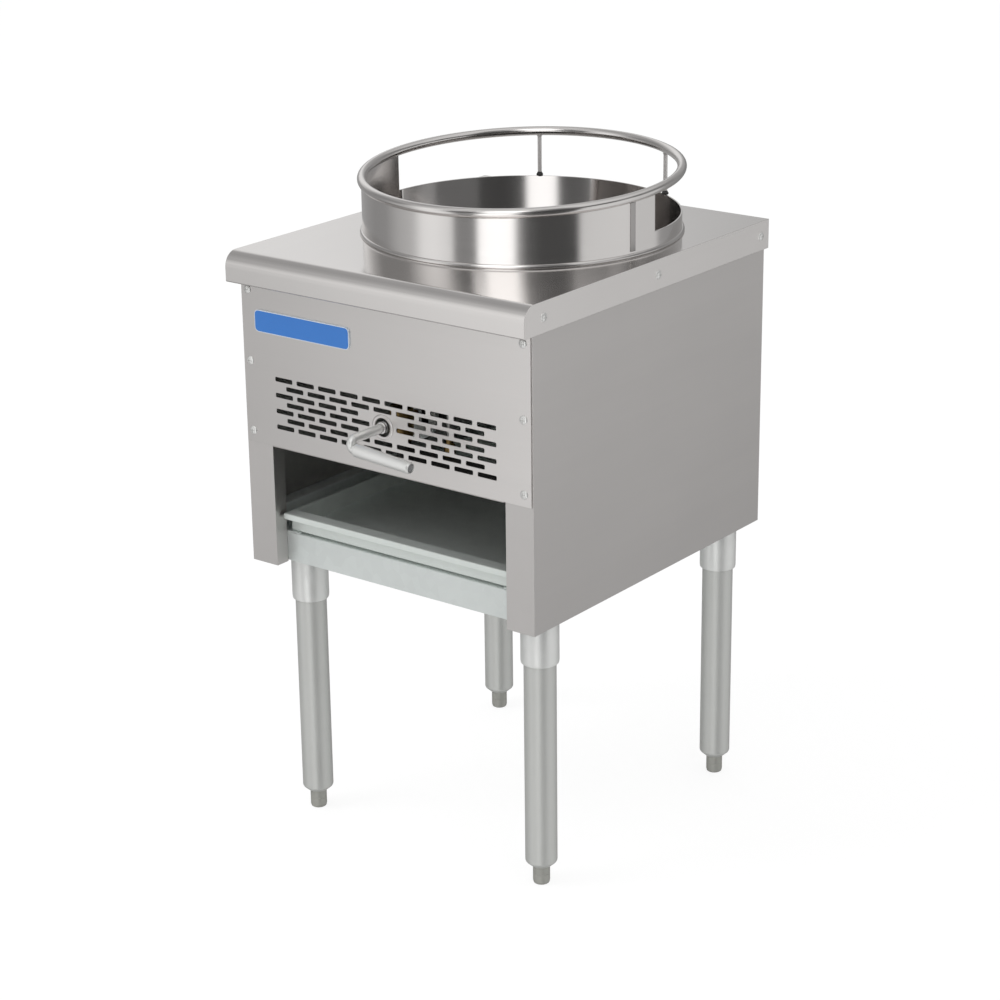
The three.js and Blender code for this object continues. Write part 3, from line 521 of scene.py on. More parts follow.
class Finish(Enum):
    """Every finish on the range."""

    # painted light: the front panel's steel gets lighter to the right and a little upward
    PANEL_STEEL = Steel(shade(STEEL, 1.02), 0.36, Axis.X, painted_light_slope=(0.9, 0.15))
    # painted shade: the side panels' steel is a darker copy of the front panel's, and it is painted lighter
    # upward
    SIDE_STEEL = Steel(shade(STEEL, 0.96), 0.42, Axis.Y, painted_light_slope=(0.0, 0.6))
    DECK_STEEL = Steel(shade(STEEL, 1.05), 0.13, Axis.Y, 0.03, 0.04)
    # painted light: a lighter copy of the deck's steel, rougher and less metallic, that makes the deck's side
    # faces brighter
    SKIRT_STEEL_PAINTED_LIGHTER = Steel(shade(STEEL, 1.18), 0.3, Axis.Y, 0.03, 0.04, 0.78)
    RING_STEEL = Steel(shade(STEEL, 1.08), 0.14, Axis.ROUND, 0.05, 0.03, lean_out=0.17, lean_in=0.325)
    BEAD_STEEL = Steel(shade(STEEL, 1.08), 0.17, Axis.ROUND, 0.04, 0.03)
    # painted shade: the lapped seam's steel is darker than the wall's, for the shade in the lap; it is rougher
    # too
    SEAM_STEEL_PAINTED_DARKER = Steel(shade(STEEL, 0.7), 0.42, Axis.Z, 0.1, 0.05)
    WELD_SCALE = Coating(srgb(52, 51, 50), 0.6)
    ROD_STEEL = Steel(shade(STEEL, 1.05), 0.5, Axis.Z, metallic=0.4)
    SATIN_PLATE = Steel(srgb(238, 238, 236), 0.3, Axis.X, 0.03, metallic=0.68)
    CHAMBER_STEEL = Steel(shade(STEEL, 0.62), 0.42, Axis.X, soot=0.5)
    LEG_STEEL = Steel(srgb(211, 212, 209), 0.48, Axis.Z, 0.04, metallic=0.55)
    FOOT_STEEL = Steel(srgb(176, 176, 170), 0.55, Axis.Z, 0.03, metallic=0.4)
    ZINC_SHEET = Galvanised(srgb(228, 233, 231), metallic=0.6)
    ZINC_CASTING = Galvanised(srgb(236, 237, 235), 0.42, 0.02, 0.06, 0.55)
    TRAY_ZINC = Galvanised(srgb(230, 236, 232), 0.4, 0.04, 0.15, 0.5)
    BURNER_IRON = Casting(srgb(58, 56, 55), srgb(96, 62, 44))
    VALVE_BRASS = Turned(srgb(168, 140, 92), srgb(104, 80, 50), 0.34)
    PILOT_TUBE = Turned(srgb(206, 206, 204), srgb(150, 150, 148), 0.35)
    BRIGHT_PLATE = Turned(srgb(240, 239, 238), srgb(205, 203, 201), 0.3)
    PIPE_BLACK = Coating(srgb(44, 43, 42), 0.5)
    PLATE_ENAMEL = Coating(srgb(48, 122, 206), 0.34, 0.3, 0.03)
    PLATE_KEYLINE = Coating(srgb(222, 232, 242), 0.3, 0.3, 0.02)
    GRIP_PLUG = Coating(srgb(126, 126, 127), 0.5)

    @cache
    def material(self) -> bpy.types.Material:
        """The finish's material, which is made once."""
        return self.value.material(self.name.lower())


# ---------------------------------------------------------------------------- mesh making
JOINED = 0.005 * MM  # points nearer than this are one
ON_AXIS = 1e-7  # a radius below this is a point on the axis
STRAIGHT = math.radians(2)  # a corner that turns by less than this isn't rounded
CORNER_SHARE = 0.48  # of a side, the most that the rounding of one corner takes
SHARP = 32.0  # edges sharper than this, in degrees, aren't shaded smooth
SOFTENED = math.radians(25)  # edges sharper than this are rounded
FLAT = math.radians(0.5)  # faces that meet at less than this are one


def rectangle(left: float, right: float, low: float, high: float) -> Outline:
    """A rectangle's corners. On a lathe it is a rod, or a tube."""
    return [(left, low), (right, low), (right, high), (left, high)]


def arc(u: float, v: float, radius: float, start: float, end: float, steps: int) -> Outline:
    """Points along an arc.

    Args:
        u: The centre's first coordinate.
        v: The centre's second coordinate.
        radius: The arc's radius.
        start: Its first angle, in degrees.
        end: Its last angle, in degrees.
        steps: How many chords it has.

    Returns:
        The points, with both ends.
    """
    angles = (math.radians(start + (end - start) * i / steps) for i in range(steps + 1))
    return [(u + radius * math.cos(a), v + radius * math.sin(a)) for a in angles]


def rounded(points: Outline, radius: float, steps: int = 4, closed: bool = True) -> Outline:
    """Rounds an outline's corners with arcs that fit between their neighbours.

    Args:
        points: The outline's corners.
        radius: The largest radius that a corner gets.
        steps: How many chords a corner has.
        closed: Whether the outline's last point joins its first.

    Returns:
        The rounded outline.
    """
    result: Outline = []
    count = len(points)
    for i, point in enumerate(points):
        corner = Vector(point)
        before = Vector(points[i - 1]) - corner
        after = Vector(points[(i + 1) % count]) - corner
        turn = before.angle(after, math.pi)
        an_end = not closed and i in (0, count - 1)
        if an_end or not STRAIGHT <= turn <= math.pi - STRAIGHT:
            result.append(point)
            continue
        reach = min(radius / math.tan(turn / 2), before.length * CORNER_SHARE, after.length * CORNER_SHARE)
        start = corner + before.normalized() * reach
        end = corner + after.normalized() * reach
        for share in (step / steps for step in range(steps + 1)):
            result.append(tuple(start.lerp(corner, share).lerp(corner.lerp(end, share), share)))
    return result


def finish_mesh(bm: bmesh.types.BMesh, sharp: float = SHARP) -> bpy.types.Mesh:
    """Turns a closed bmesh into a mesh with outward faces and smooth shading.

    Args:
        bm: The bmesh, which is freed.
        sharp: Edges sharper than this, in degrees, stay sharp.

    Returns:
        The mesh.
    """
    bmesh.ops.recalc_face_normals(bm, faces=bm.faces)
    mesh = bpy.data.meshes.new("mesh")
    bm.to_mesh(mesh)
    bm.free()
    mesh.shade_smooth()
    mesh.set_sharp_from_angle(angle=math.radians(sharp))
    return mesh


@dataclass(frozen=True)
class Lathe:
    """Turns outlines of (radius, height) round an axis through a point."""

    centre: Vector
    axis: Axis = Axis.Z
    sides: int = 96

    @classmethod
    def on(cls, node: str, axis: Axis = Axis.Z, sides: int = 96) -> "Lathe":
        """A lathe on the axis of a round CAD node.

        Args:
            node: The CAD node.
            axis: The axis that it is round about.
            sides: How many sides the lathe's meshes have.

        Returns:
            The lathe.
        """
        centre = middle(node)
        setattr(centre, axis.value, 0.0)
        return cls(centre, axis, sides)

    def _ring(self, bm: bmesh.types.BMesh, radius: float, height: float) -> list[bmesh.types.BMVert]:
        """Adds the points that a corner of an outline is turned into, or its one point on the axis.

        Args:
            bm: The bmesh that they go into.
            radius: The corner's radius.
            height: Its place along the axis.

        Returns:
            The points.
        """
        ring = []
        for i in range(1 if radius < ON_AXIS else self.sides):
            angle = math.tau / self.sides * i
            u, v = radius * math.cos(angle), radius * math.sin(angle)
            offsets = {Axis.X: (height, u, v), Axis.Y: (u, height, v), Axis.Z: (u, v, height)}
            ring.append(bm.verts.new(self.centre + Vector(offsets[self.axis])))
        return ring

    def mesh(
        self, outline: Outline, corner: float = 0.0, steps: int = 4, sharp: float = SHARP
    ) -> bpy.types.Mesh:
        """Turns an outline.

        Args:
            outline: Its corners. One that starts and ends at a radius of 0 makes a solid.
            corner: The largest radius that the corners are rounded to.
            steps: How many chords a rounded corner has.
            sharp: Edges sharper than this, in degrees, stay sharp.

        Returns:
            The closed mesh.
        """
        if corner:
            outline = rounded(outline, corner, steps, closed=outline[0][0] + outline[-1][0] > 0)
        bm = bmesh.new()
        rings = [self._ring(bm, radius, height) for radius, height in outline]
        for low, high in zip(rings, [*rings[1:], rings[0]]):
            if len(low) == 1 and len(high) == 1:
                continue
            for i in range(self.sides):
                after = (i + 1) % self.sides
                corners = [low[i % len(low)], low[after % len(low)]]
                corners += [high[after % len(high)], high[i % len(high)]]
                bm.faces.new(list(dict.fromkeys(corners)))
        return finish_mesh(bm, sharp)


def prism(outline: Outline, axis: Axis, low: float, high: float) -> bpy.types.Mesh:
    """Pushes an outline along an axis.

    Args:
        outline: Points in (y, z) for X, in (x, z) for Y, or in (x, y) for Z.
        axis: The axis that it is pushed along.
        low: Where it starts.
        high: Where it ends.

    Returns:
        The closed mesh.
    """
    place = {
        Axis.X: lambda u, v, w: (w, u, v),
        Axis.Y: lambda u, v, w: (u, w, v),
        Axis.Z: lambda u, v, w: (u, v, w),
    }[axis]
    bm = bmesh.new()
    ends = [[bm.verts.new(place(u, v, w)) for u, v in outline] for w in (low, high)]
    for end in ends:
        bm.faces.new(end)
    for i in range(len(outline)):
        after = (i + 1) % len(outline)
        bm.faces.new((ends[0][i], ends[0][after], ends[1][after], ends[1][i]))
    return finish_mesh(bm)


def merged(*meshes: bpy.types.Mesh) -> bpy.types.Mesh:
    """Several meshes as one.

    Args:
        meshes: The closed meshes, which stay as they are.

    Returns:
        One mesh with all their faces.
    """
    bm = bmesh.new()
    for mesh in meshes:
        bm.from_mesh(mesh)
    return finish_mesh(bm)


def link(name: str, data: bpy.types.ID) -> bpy.types.Object:
    """Puts a mesh, a lamp or a camera into the scene as an object at the origin.

    Args:
        name: The object's name.
        data: Its mesh, lamp or camera.

    Returns:
        The object.
    """
    piece = bpy.data.objects.new(name, data)
    bpy.context.scene.collection.objects.link(piece)
    return piece


def evaluated_mesh(piece: bpy.types.Object) -> bpy.types.Mesh:
    """The mesh that an object's modifiers make."""
    graph = bpy.context.evaluated_depsgraph_get()
    return bpy.data.meshes.new_from_object(piece.evaluated_get(graph))


def cut(base: bpy.types.Mesh, *tools: bpy.types.Mesh) -> bpy.types.Mesh:
    """Cuts closed meshes out of a mesh.

    Args:
        base: The mesh that is cut.
        tools: The meshes that are taken out of it.

    Returns:
        The cut mesh.
    """
    piece = link("base", base)
    cutters = [link("cutter", tool) for tool in tools]
    for cutter in cutters:
        modifier = piece.modifiers.new("cut", "BOOLEAN")
        modifier.operation = "DIFFERENCE"
        modifier.solver = "EXACT"
        modifier.object = cutter
    result = evaluated_mesh(piece)
    for scrap in (piece, *cutters):
        bpy.data.objects.remove(scrap)
    return result


def face_width(face: bmesh.types.BMFace, edge: bmesh.types.BMEdge) -> float:
    """How far a face reaches from one of its edges, at its narrowest.

    Args:
        face: The face.
        edge: The edge, which the width is measured square to, near its ends and at its middle.

    Returns:
        The distance to the face's next edge.
    """
    start, end = (vert.co for vert in edge.verts)
    along = (end - start).normalized()
    inward = face.normal.cross(along)
    if not any(loop.edge is edge and loop.vert is edge.verts[0] for loop in face.loops):
        inward = -inward
    width = math.inf
    for share in (0.1, 0.5, 0.9):
        origin = start.lerp(end, share)
        for other in face.edges:
            first, second = (vert.co - origin for vert in other.verts)
            low, high = first.dot(along), second.dot(along)
            if other is edge or low * high > 0 or low == high:
                continue
            reach = first.lerp(second, low / (low - high)).dot(inward)
            if reach > 1e-6:
                width = min(width, reach)
    return width


def softened(
    mesh: bpy.types.Mesh, corner: float, share: float = 0.3, whole_faces: bool = False
) -> bpy.types.Mesh:
    """Gives each sharp edge of a mesh the bevel weight that its room allows.

    Args:
        mesh: The mesh, which stays as it is.
        corner: The largest radius, which a weight of 1 stands for.
        share: The share of the neighbouring edges and faces that a bevel may take.
        whole_faces: Whether the triangles of a flat face are joined first.

    Returns:
        A copy with the weights.
    """
    bm = bmesh.new()
    bm.from_mesh(mesh)
    bmesh.ops.remove_doubles(bm, verts=bm.verts, dist=JOINED)
    if whole_faces:
        bmesh.ops.dissolve_limit(bm, angle_limit=FLAT, verts=bm.verts, edges=bm.edges)
    bm.normal_update()
    weights = bm.edges.layers.float.new("bevel_weight_edge")
    for edge in bm.edges:
        if len(edge.link_faces) != 2 or edge.calc_face_angle(0.0) < SOFTENED:
            continue
        room = [
            other.calc_length()
            for face in edge.link_faces
            for other in face.edges
            if other is not edge and set(other.verts) & set(edge.verts)
        ]
        room += [face_width(face, edge) for face in edge.link_faces]
        limit = corner if edge.is_convex else corner / 2
        edge[weights] = min(limit, share * min(room)) / corner
    return finish_mesh(bm)


@dataclass(frozen=True)
class Bevel:
    """Rounded edges: the weighted ones, or those sharper than an angle in degrees."""

    width: float
    segments: int = 3
    angle: float | None = None

    def add_to(self, piece: bpy.types.Object) -> None:
        """Adds the modifier to a piece.

        Args:
            piece: The piece, whose mesh has the weights if no angle is set.
        """
        modifier = piece.modifiers.new("rounded_edges", "BEVEL")
        modifier.limit_method = "ANGLE" if self.angle else "WEIGHT"
        if self.angle:
            modifier.angle_limit = math.radians(self.angle)
        modifier.width = self.width
        modifier.segments = self.segments
        modifier.use_clamp_overlap = False
        modifier.harden_normals = True


# ---------------------------------------------------------------------------- geometry trees
BEND_CHORDS = 14  # of each bend of a bar
HEAD_FACES = {"Segments": 28, "Rings": 16}  # of a screw's whole sphere
PORT_SIDES = 12
HOLE_SIDES = 64
SLOT_CHORDS = 3  # of each corner of a slot
WELDED = 1e-6  # points of the slotted sheet nearer than this are one


class GeometryTree(NodeTree):
    """A Geometry Nodes tree with named inputs that ends in real faces and a finish."""

    def __init__(self, name: str, finish: Finish) -> None:
        """Makes an empty tree.

        Args:
            name: The tree's name.
            finish: What Set Material gives to its faces.
        """
        super().__init__(bpy.data.node_groups.new(name, "GeometryNodeTree"))
        self.finish = finish
        self.identifiers: dict[str, str] = {}
        for direction in ("INPUT", "OUTPUT"):
            self.tree.interface.new_socket("Geometry", in_out=direction, socket_type="NodeSocketGeometry")
        self.group_input = self.tree.nodes.new("NodeGroupInput")

    def start(self) -> Value:
        """The geometry that the tree is given."""
        return Value(self, self.group_input.outputs["Geometry"])

    def sizes(self, *names: str, kind: str = "NodeSocketFloat") -> list[Value]:
        """Adds named inputs.

        Args:
            names: The inputs' names.
            kind: The type of their sockets.

        Returns:
            What they carry.
        """
        for name in names:
            item = self.tree.interface.new_socket(name, in_out="INPUT", socket_type=kind)
            self.identifiers[name] = item.identifier
        return [Value(self, self.group_input.outputs[name]) for name in names]

    def join(self, *geometries: Value) -> Value:
        """Several geometries as one."""
        return self.value("GeometryNodeJoinGeometry", {0: list(geometries)})

    def cube(self, *size: Value) -> Value:
        """A box with its middle at the origin."""
        return self.value("GeometryNodeMeshCube", {"Size": self.vector(*size)})

    def moved(self, geometry: Value, y: Value | float, z: Value | float) -> Value:
        """The geometry moved in Y and Z."""
        sockets = {"Geometry": geometry, "Translation": self.vector(0.0, y, z)}
        return self.value("GeometryNodeTransform", sockets)

    def boolean(self, operation: str, tools: list[Value], base: Value | None = None) -> Value:
        """Joins meshes, or takes them out of a base."""
        sockets = ({"Mesh 1": base} if base else {}) | {"Mesh 2": tools}
        return self.value("GeometryNodeMeshBoolean", sockets, operation=operation, solver="EXACT")

    def on_points(self, points: Value, instance: Value, **more: Value) -> Value:
        """A copy of the instance on each point."""
        return self.value("GeometryNodeInstanceOnPoints", {"Points": points, "Instance": instance, **more})

    def close(self, geometry: Value) -> "GeometryTree":
        """Ends the tree in Realize Instances and Set Material.

        Args:
            geometry: What the tree has made.

        Returns:
            The tree itself.
        """
        real = self.value("GeometryNodeRealizeInstances", {"Geometry": geometry})
        sockets = {"Geometry": real, "Material": self.finish.material()}
        dressed = self.value("GeometryNodeSetMaterial", sockets)
        self.node("NodeGroupOutput", {"Geometry": dressed})
        return self

    def run(self, start: bpy.types.Mesh, **sizes: float) -> bpy.types.Mesh:
        """Runs the tree on a mesh.

        Args:
            start: The mesh that the tree is given.
            sizes: The values of the named inputs.

        Returns:
            A plain mesh with the tree's faces.
        """
        maker = link("maker", start)
        modifier = maker.modifiers.new(self.tree.name, "NODES")
        modifier.node_group = self.tree
        for name, value in sizes.items():
            modifier[self.identifiers[name]] = value
        made = evaluated_mesh(maker)
        bpy.data.objects.remove(maker)
        return made


def seeds(places: Sequence[Vector], facing: Sequence[Vector] = (), path: bool = False) -> bpy.types.Mesh:
    """A mesh of loose points, or of the path through them, that a tree starts from.

    Args:
        places: The points.
        facing: The direction that what stands on each point faces, or none.
        path: Whether edges join the points.

    Returns:
        The mesh.
    """
    mesh = bpy.data.meshes.new("seeds")
    edges = [(i, i + 1) for i in range(len(places) - 1)] if path else []
    mesh.from_pydata([tuple(place) for place in places], edges, [])
    if facing:
        attribute = mesh.attributes.new("facing", "FLOAT_VECTOR", "POINT")
        for item, direction in zip(attribute.data, facing):
            item.vector = direction
    return mesh


def bar(
    places: Sequence[Vector], finish: Finish, radius: float, bend: float, sides: int = 40
) -> bpy.types.Mesh:
    """Makes a round bar along a path.

    Args:
        places: The path's corners.
        finish: The bar's finish.
        radius: Its radius.
        bend: The radius of its bends.
        sides: How many sides it has.

    Returns:
        The mesh.
    """
    tree = GeometryTree(f"bar_of_{finish.name.lower()}", finish)
    radius_in, bend_in = tree.sizes("radius", "bend")
    (sides_in,) = tree.sizes("sides", kind="NodeSocketInt")
    curve = tree.value("GeometryNodeMeshToCurve", {"Mesh": tree.start()})
    sockets = {"Curve": curve, "Radius": bend_in, "Limit Radius": True, "Count": BEND_CHORDS}
    bent = tree.value("GeometryNodeFilletCurve", sockets, mode="POLY")
    circle = tree.value("GeometryNodeCurvePrimitiveCircle", {"Resolution": sides_in, "Radius": radius_in})
    sockets = {"Curve": bent, "Profile Curve": circle, "Fill Caps": True}
    tree.close(tree.value("GeometryNodeCurveToMesh", sockets))
    return tree.run(seeds(places, path=True), radius=radius, bend=bend, sides=sides)


def screw_tree(finish: Finish) -> GeometryTree:
    """A tree that puts a domed screw head with a cross recess on each point.

    Args:
        finish: The screws' finish.

    Returns:
        The tree, which takes points with a facing.
    """
    tree = GeometryTree("domed_screws", finish)
    radius, height, recess = tree.sizes("radius", "height", "recess")
    sphere = tree.value("GeometryNodeMeshUVSphere", HEAD_FACES | {"Radius": 1.0})
    sockets = {"Geometry": sphere, "Scale": tree.vector(radius, radius, height)}
    dome = tree.value("GeometryNodeTransform", sockets)
    block = radius * 2.5
    below = tree.moved(tree.cube(block, block, block), 0.0, block * -0.5)
    arm, depth = radius * 1.05, height * 1.2
    cross = tree.boolean("UNION", [tree.cube(arm, recess, depth), tree.cube(recess, arm, depth)])
    head = tree.boolean("DIFFERENCE", [below, tree.moved(cross, 0.0, height * 1.1)], dome)
    facing = tree.value("GeometryNodeInputNamedAttribute", {"Name": "facing"}, data_type="FLOAT_VECTOR")
    turned = tree.value("FunctionNodeAlignRotationToVector", {"Vector": facing}, axis="Z")
    return tree.close(tree.on_points(tree.start(), head, Rotation=turned))


def port_tree(finish: Finish) -> GeometryTree:
    """A tree that puts a raised port with a drilled middle on each point.

    Args:
        finish: The ports' finish.

    Returns:
        The tree, which takes points.
    """
    tree = GeometryTree("flame_ports", finish)
    outer, inner, height = tree.sizes("outer", "inner", "height")
    sockets = {"Vertices": PORT_SIDES, "Radius": outer, "Depth": height * 2.0}
    boss = tree.value("GeometryNodeMeshCylinder", sockets)
    sockets = {"Vertices": PORT_SIDES, "Radius": inner, "Depth": height * 1.6}
    bore = tree.moved(tree.value("GeometryNodeMeshCylinder", sockets), 0.0, height)
    return tree.close(tree.on_points(tree.start(), tree.boolean("DIFFERENCE", [bore], boss)))


def slotted_tree(finish: Finish) -> GeometryTree:
    """A tree that makes a flat sheet in X and Y with rows of slots round a clear hole.

    Args:
        finish: The sheet's finish.

    Returns:
        The tree, which makes the sheet whatever it is given.
    """
    tree = GeometryTree("slotted_sheet", finish)
    width, height, thickness, hole, clear, rows_y = tree.sizes(
        "width", "height", "thickness", "hole", "clear", "rows_y"
    )
    slot_length, slot_height, slot_corner, pitch_x, pitch_y = tree.sizes(
        "slot_length", "slot_height", "slot_corner", "pitch_x", "pitch_y"
    )
    long_count, long_rows = tree.sizes("long_count", "long_rows", kind="NodeSocketInt")

    def rows(count: Value, lines: Value) -> Value:
        """Points of every other row, each with the same count of slots."""
        sockets = {"Size X": (count - 1.0) * pitch_x, "Size Y": (lines - 1.0) * (pitch_y * 2.0)}
        return tree.value("GeometryNodeMeshGrid", sockets | {"Vertices X": count, "Vertices Y": lines})

    def beyond(part: Value, size: Value) -> Value:
        """How far a slot's nearest edge lies from the hole's axis, in X or in Y."""
        return (part.math("ABSOLUTE") - size * 0.5).math("MAXIMUM", 0.0)

    both = tree.join(rows(long_count, long_rows), rows(long_count - 1.0, long_rows - 1.0))
    points = tree.value("GeometryNodeMeshToPoints", {"Mesh": both})
    x, y, _ = tree.split(tree.value("GeometryNodeInputPosition"))
    gap_x, gap_y = beyond(x, slot_length), beyond(y, slot_height)
    near = (gap_x * gap_x + gap_y * gap_y).math("SQRT").math("LESS_THAN", clear)
    sockets = {"Geometry": points, "Selection": near}
    kept = tree.value("GeometryNodeDeleteGeometry", sockets, domain="POINT")
    sockets = {"Width": slot_length, "Height": slot_height}
    slot = tree.value("GeometryNodeCurvePrimitiveQuadrilateral", sockets)
    sockets = {"Curve": slot, "Radius": slot_corner, "Count": SLOT_CHORDS, "Limit Radius": True}
    slot = tree.value("GeometryNodeFilletCurve", sockets, mode="POLY")
    slots = tree.value("GeometryNodeRealizeInstances", {"Geometry": tree.on_points(kept, slot)})
    ring = tree.value("GeometryNodeCurvePrimitiveCircle", {"Resolution": HOLE_SIDES, "Radius": hole})
    pattern = tree.moved(tree.join(slots, ring), rows_y, 0.0)
    edge = tree.value("GeometryNodeCurvePrimitiveQuadrilateral", {"Width": width, "Height": height})
    flat = tree.value("GeometryNodeFillCurve", {"Curve": tree.join(edge, pattern)}, mode="TRIANGLES")
    sockets = {"Mesh": flat, "Offset": (0.0, 0.0, 1.0), "Offset Scale": thickness, "Individual": False}
    lifted = tree.value("GeometryNodeExtrudeMesh", sockets)
    under = tree.value("GeometryNodeFlipFaces", {"Mesh": flat})
    sockets = {"Geometry": tree.join(lifted, under), "Distance": WELDED}
    return tree.close(tree.value("GeometryNodeMergeByDistance", sockets))


# ---------------------------------------------------------------------------- pieces
def put(
    name: str,
    mesh: bpy.types.Mesh,
    slot: str,
    finish: Finish | None = None,
    nodes: Sequence[str] = (),
    body: Body = Body.CABINET,
    bevel: Bevel | None = None,
) -> bpy.types.Object:
    """Puts a piece into the scene and hands it to the frame.

    Args:
        name: The piece's name.
        mesh: Its mesh, in place.
        slot: The record's material slot; not used.
        finish: Its finish, or None for a mesh that has one.
        nodes: The CAD nodes that it stands for.
        body: The body that it rides on.
        bevel: How its edges are rounded.

    Returns:
        The piece.
    """
    piece = link(name, mesh)
    mesh.name = name
    if bevel:
        bevel.add_to(piece)
    if finish:
        mesh.materials.clear()
        mesh.materials.append(finish.material())
    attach(piece, body.value)
    if nodes:
        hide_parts(*nodes)
    LOG.info("%s: %d faces", name, len(mesh.polygons))
    return piece


@dataclass
class FoldedSheet:
    """A folded sheet that keeps its CAD shape and gets real bends and edges."""

    nodes: Nodes
    node: str
    slot: str
    finish: Finish
    bend: float
    body: Body = Body.CABINET

    def build(self) -> None:
        """Makes the piece that stands for the node."""
        mesh = softened(self.nodes[self.node].data, self.bend, whole_faces=True)
        put(f"{self.node}_sheet", mesh, self.slot, self.finish, [self.node], self.body, Bevel(self.bend))


@dataclass
class Shell:
    """The folded sheets of the cabinet and its lower frame."""

    nodes: Nodes
    bend: float = 1.9 * MM
    back_bend: float = 1 * MM

    def build(self) -> None:
        """Makes every folded sheet."""
        for side in SIDES:
            FoldedSheet(self.nodes, f"side_panel_{side}", "side_steel", Finish.SIDE_STEEL, self.bend).build()
        FoldedSheet(self.nodes, "back_panel", "galvanised", Finish.ZINC_SHEET, self.back_bend).build()
        frame = [f"{end}_lower_rail" for end in ENDS]
        frame += [f"{part}_{side}" for part in ("base_channel", "tray_runner") for side in SIDES]
        for node in (*frame, "burner_bracket"):
            FoldedSheet(self.nodes, node, "galvanised", Finish.ZINC_SHEET, self.bend).build()


@dataclass
class Deck:
    """The deck: a pan turned upside down with a rolled front edge and a hole for the ring."""

    sheet: float = 2 * MM
    skirt: float = 3 * MM
    bullnose: float = 20 * MM
    lip: float = 12 * MM
    bend: float = 2.2 * MM
    hole_sides: int = 240

    SIDEWAYS = 0.7  # a face whose normal is more to the side than this gets the skirts' copy of the deck's steel, painted lighter as light, and duller

    def _section(self, rear: float, top: float, front: float, radius: float) -> Outline:
        """The (y, z) outline from the rear over the rolled front edge."""
        return [(rear, top), *arc(front + radius, top - radius, radius, 90, 180, 20)]

    def build(self) -> None:
        """Makes the deck."""
        low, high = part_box("deck_top")
        outer = self._section(high.y, high.z, low.y, self.bullnose)
        base = prism([*outer, (low.y, low.z), (high.y, low.z)], Axis.X, low.x, high.x)
        under, above, below = high.z - self.sheet, low.z + self.sheet, low.z - self.sheet
        front, lip, rear = low.y + self.sheet, low.y + self.lip, high.y - self.skirt
        inner = self._section(rear, under, front, self.bullnose - self.sheet)
        inner += [(front, above), (lip, above), (lip, below), (rear, below)]
        hollow = prism(inner, Axis.X, low.x + self.skirt, high.x - self.skirt)
        radius = half_width("wok_ring_wall") + SEAT
        lathe = Lathe.on("wok_ring_wall", Axis.Z, self.hole_sides)
        hole = lathe.mesh(rectangle(0, radius, under - MM, high.z + MM))
        mesh = softened(cut(base, hollow, hole), self.bend)
        bevel = Bevel(self.bend, 4)
        put("deck_skin", mesh, "polished_steel", Finish.DECK_STEEL, ["deck_top"], bevel=bevel)
        # painted light: the side faces get the lighter copy of the deck's steel
        mesh.materials.append(Finish.SKIRT_STEEL_PAINTED_LIGHTER.material())
        for face in mesh.polygons:
            face.material_index = int(abs(face.normal.x) > self.SIDEWAYS)


@dataclass
class FrontPanel:
    """The slotted front, with a fold over the opening."""

    slot_length: float = 28.5 * MM
    slot_height: float = 5.8 * MM
    slot_corner: float = 1.5 * MM
    pitch_x: float = 35.75 * MM
    pitch_z: float = 10.5 * MM
    long_count: int = 10
    long_rows: int = 4
    collar: float = 18.5 * MM
    hole: float = 12 * MM
    sheet: float = 1.5 * MM
    fold: float = 1.6 * MM
    edge: float = 0.3 * MM
    edge_angle: float = 60.0

    def build(self) -> None:
        """Makes the panel."""
        low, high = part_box("front_panel")
        middle_z = (low.z + self.fold + high.z) / 2
        face = slotted_tree(Finish.PANEL_STEEL).run(
            seeds([Vector()]),
            width=high.x - low.x,
            height=high.z - low.z - self.fold,
            thickness=self.sheet,
            hole=self.hole,
            clear=self.collar - self.slot_height / 2,
            rows_y=middle("stem_bezel").z - middle_z,
            slot_length=self.slot_length,
            slot_height=self.slot_height,
            slot_corner=self.slot_corner,
            pitch_x=self.pitch_x,
            pitch_y=self.pitch_z,
            long_count=self.long_count,
            long_rows=self.long_rows,
        )
        upright = Matrix.Rotation(math.pi / 2, 4, "X")
        face.transform(Matrix.Translation((0, low.y + self.sheet, middle_z)) @ upright)
        y, z = low.y + self.fold, low.z + self.fold
        bend = arc(y, z, self.fold, 180, 270, 6)
        inner = arc(y, z, self.fold - self.sheet, 270, 180, 6)
        outline = [*bend, (high.y, low.z), (high.y, low.z + self.sheet), *inner]
        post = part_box("side_panel_right")[0].x - MM
        mesh = merged(face, prism(outline, Axis.X, -post, post))
        bevel = Bevel(self.edge, 2, self.edge_angle)
        put("front_face", mesh, "panel_steel", Finish.PANEL_STEEL, ["front_panel"], bevel=bevel)


@dataclass
class NamePlate:
    """The blank blue plate with a pale border."""

    corner: float = 7 * MM
    border: float = 0.8 * MM
    rise: float = 0.12 * MM  # how far the field stands out of its border

    def _tablet(self, inset: float, front: float, back: float) -> bpy.types.Mesh:
        """A rounded tablet in the plate's outline, drawn in by an inset.

        Args:
            inset: How far it is drawn in.
            front: Where its face lies.
            back: Where its back lies.

        Returns:
            The mesh.
        """
        low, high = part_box("name_plate")
        outline = rectangle(low.x + inset, high.x - inset, low.z + inset, high.z - inset)
        return prism(rounded(outline, self.corner - inset, 8), Axis.Y, front, back)

    def build(self) -> None:
        """Makes the border and the field."""
        low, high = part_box("name_plate")
        border = self._tablet(0, low.y + self.rise, high.y + SEAT)
        put("plate_border", border, "plate_blue", Finish.PLATE_KEYLINE, ["name_plate"])
        put("plate_field", self._tablet(self.border, low.y, high.y), "plate_blue", Finish.PLATE_ENAMEL)


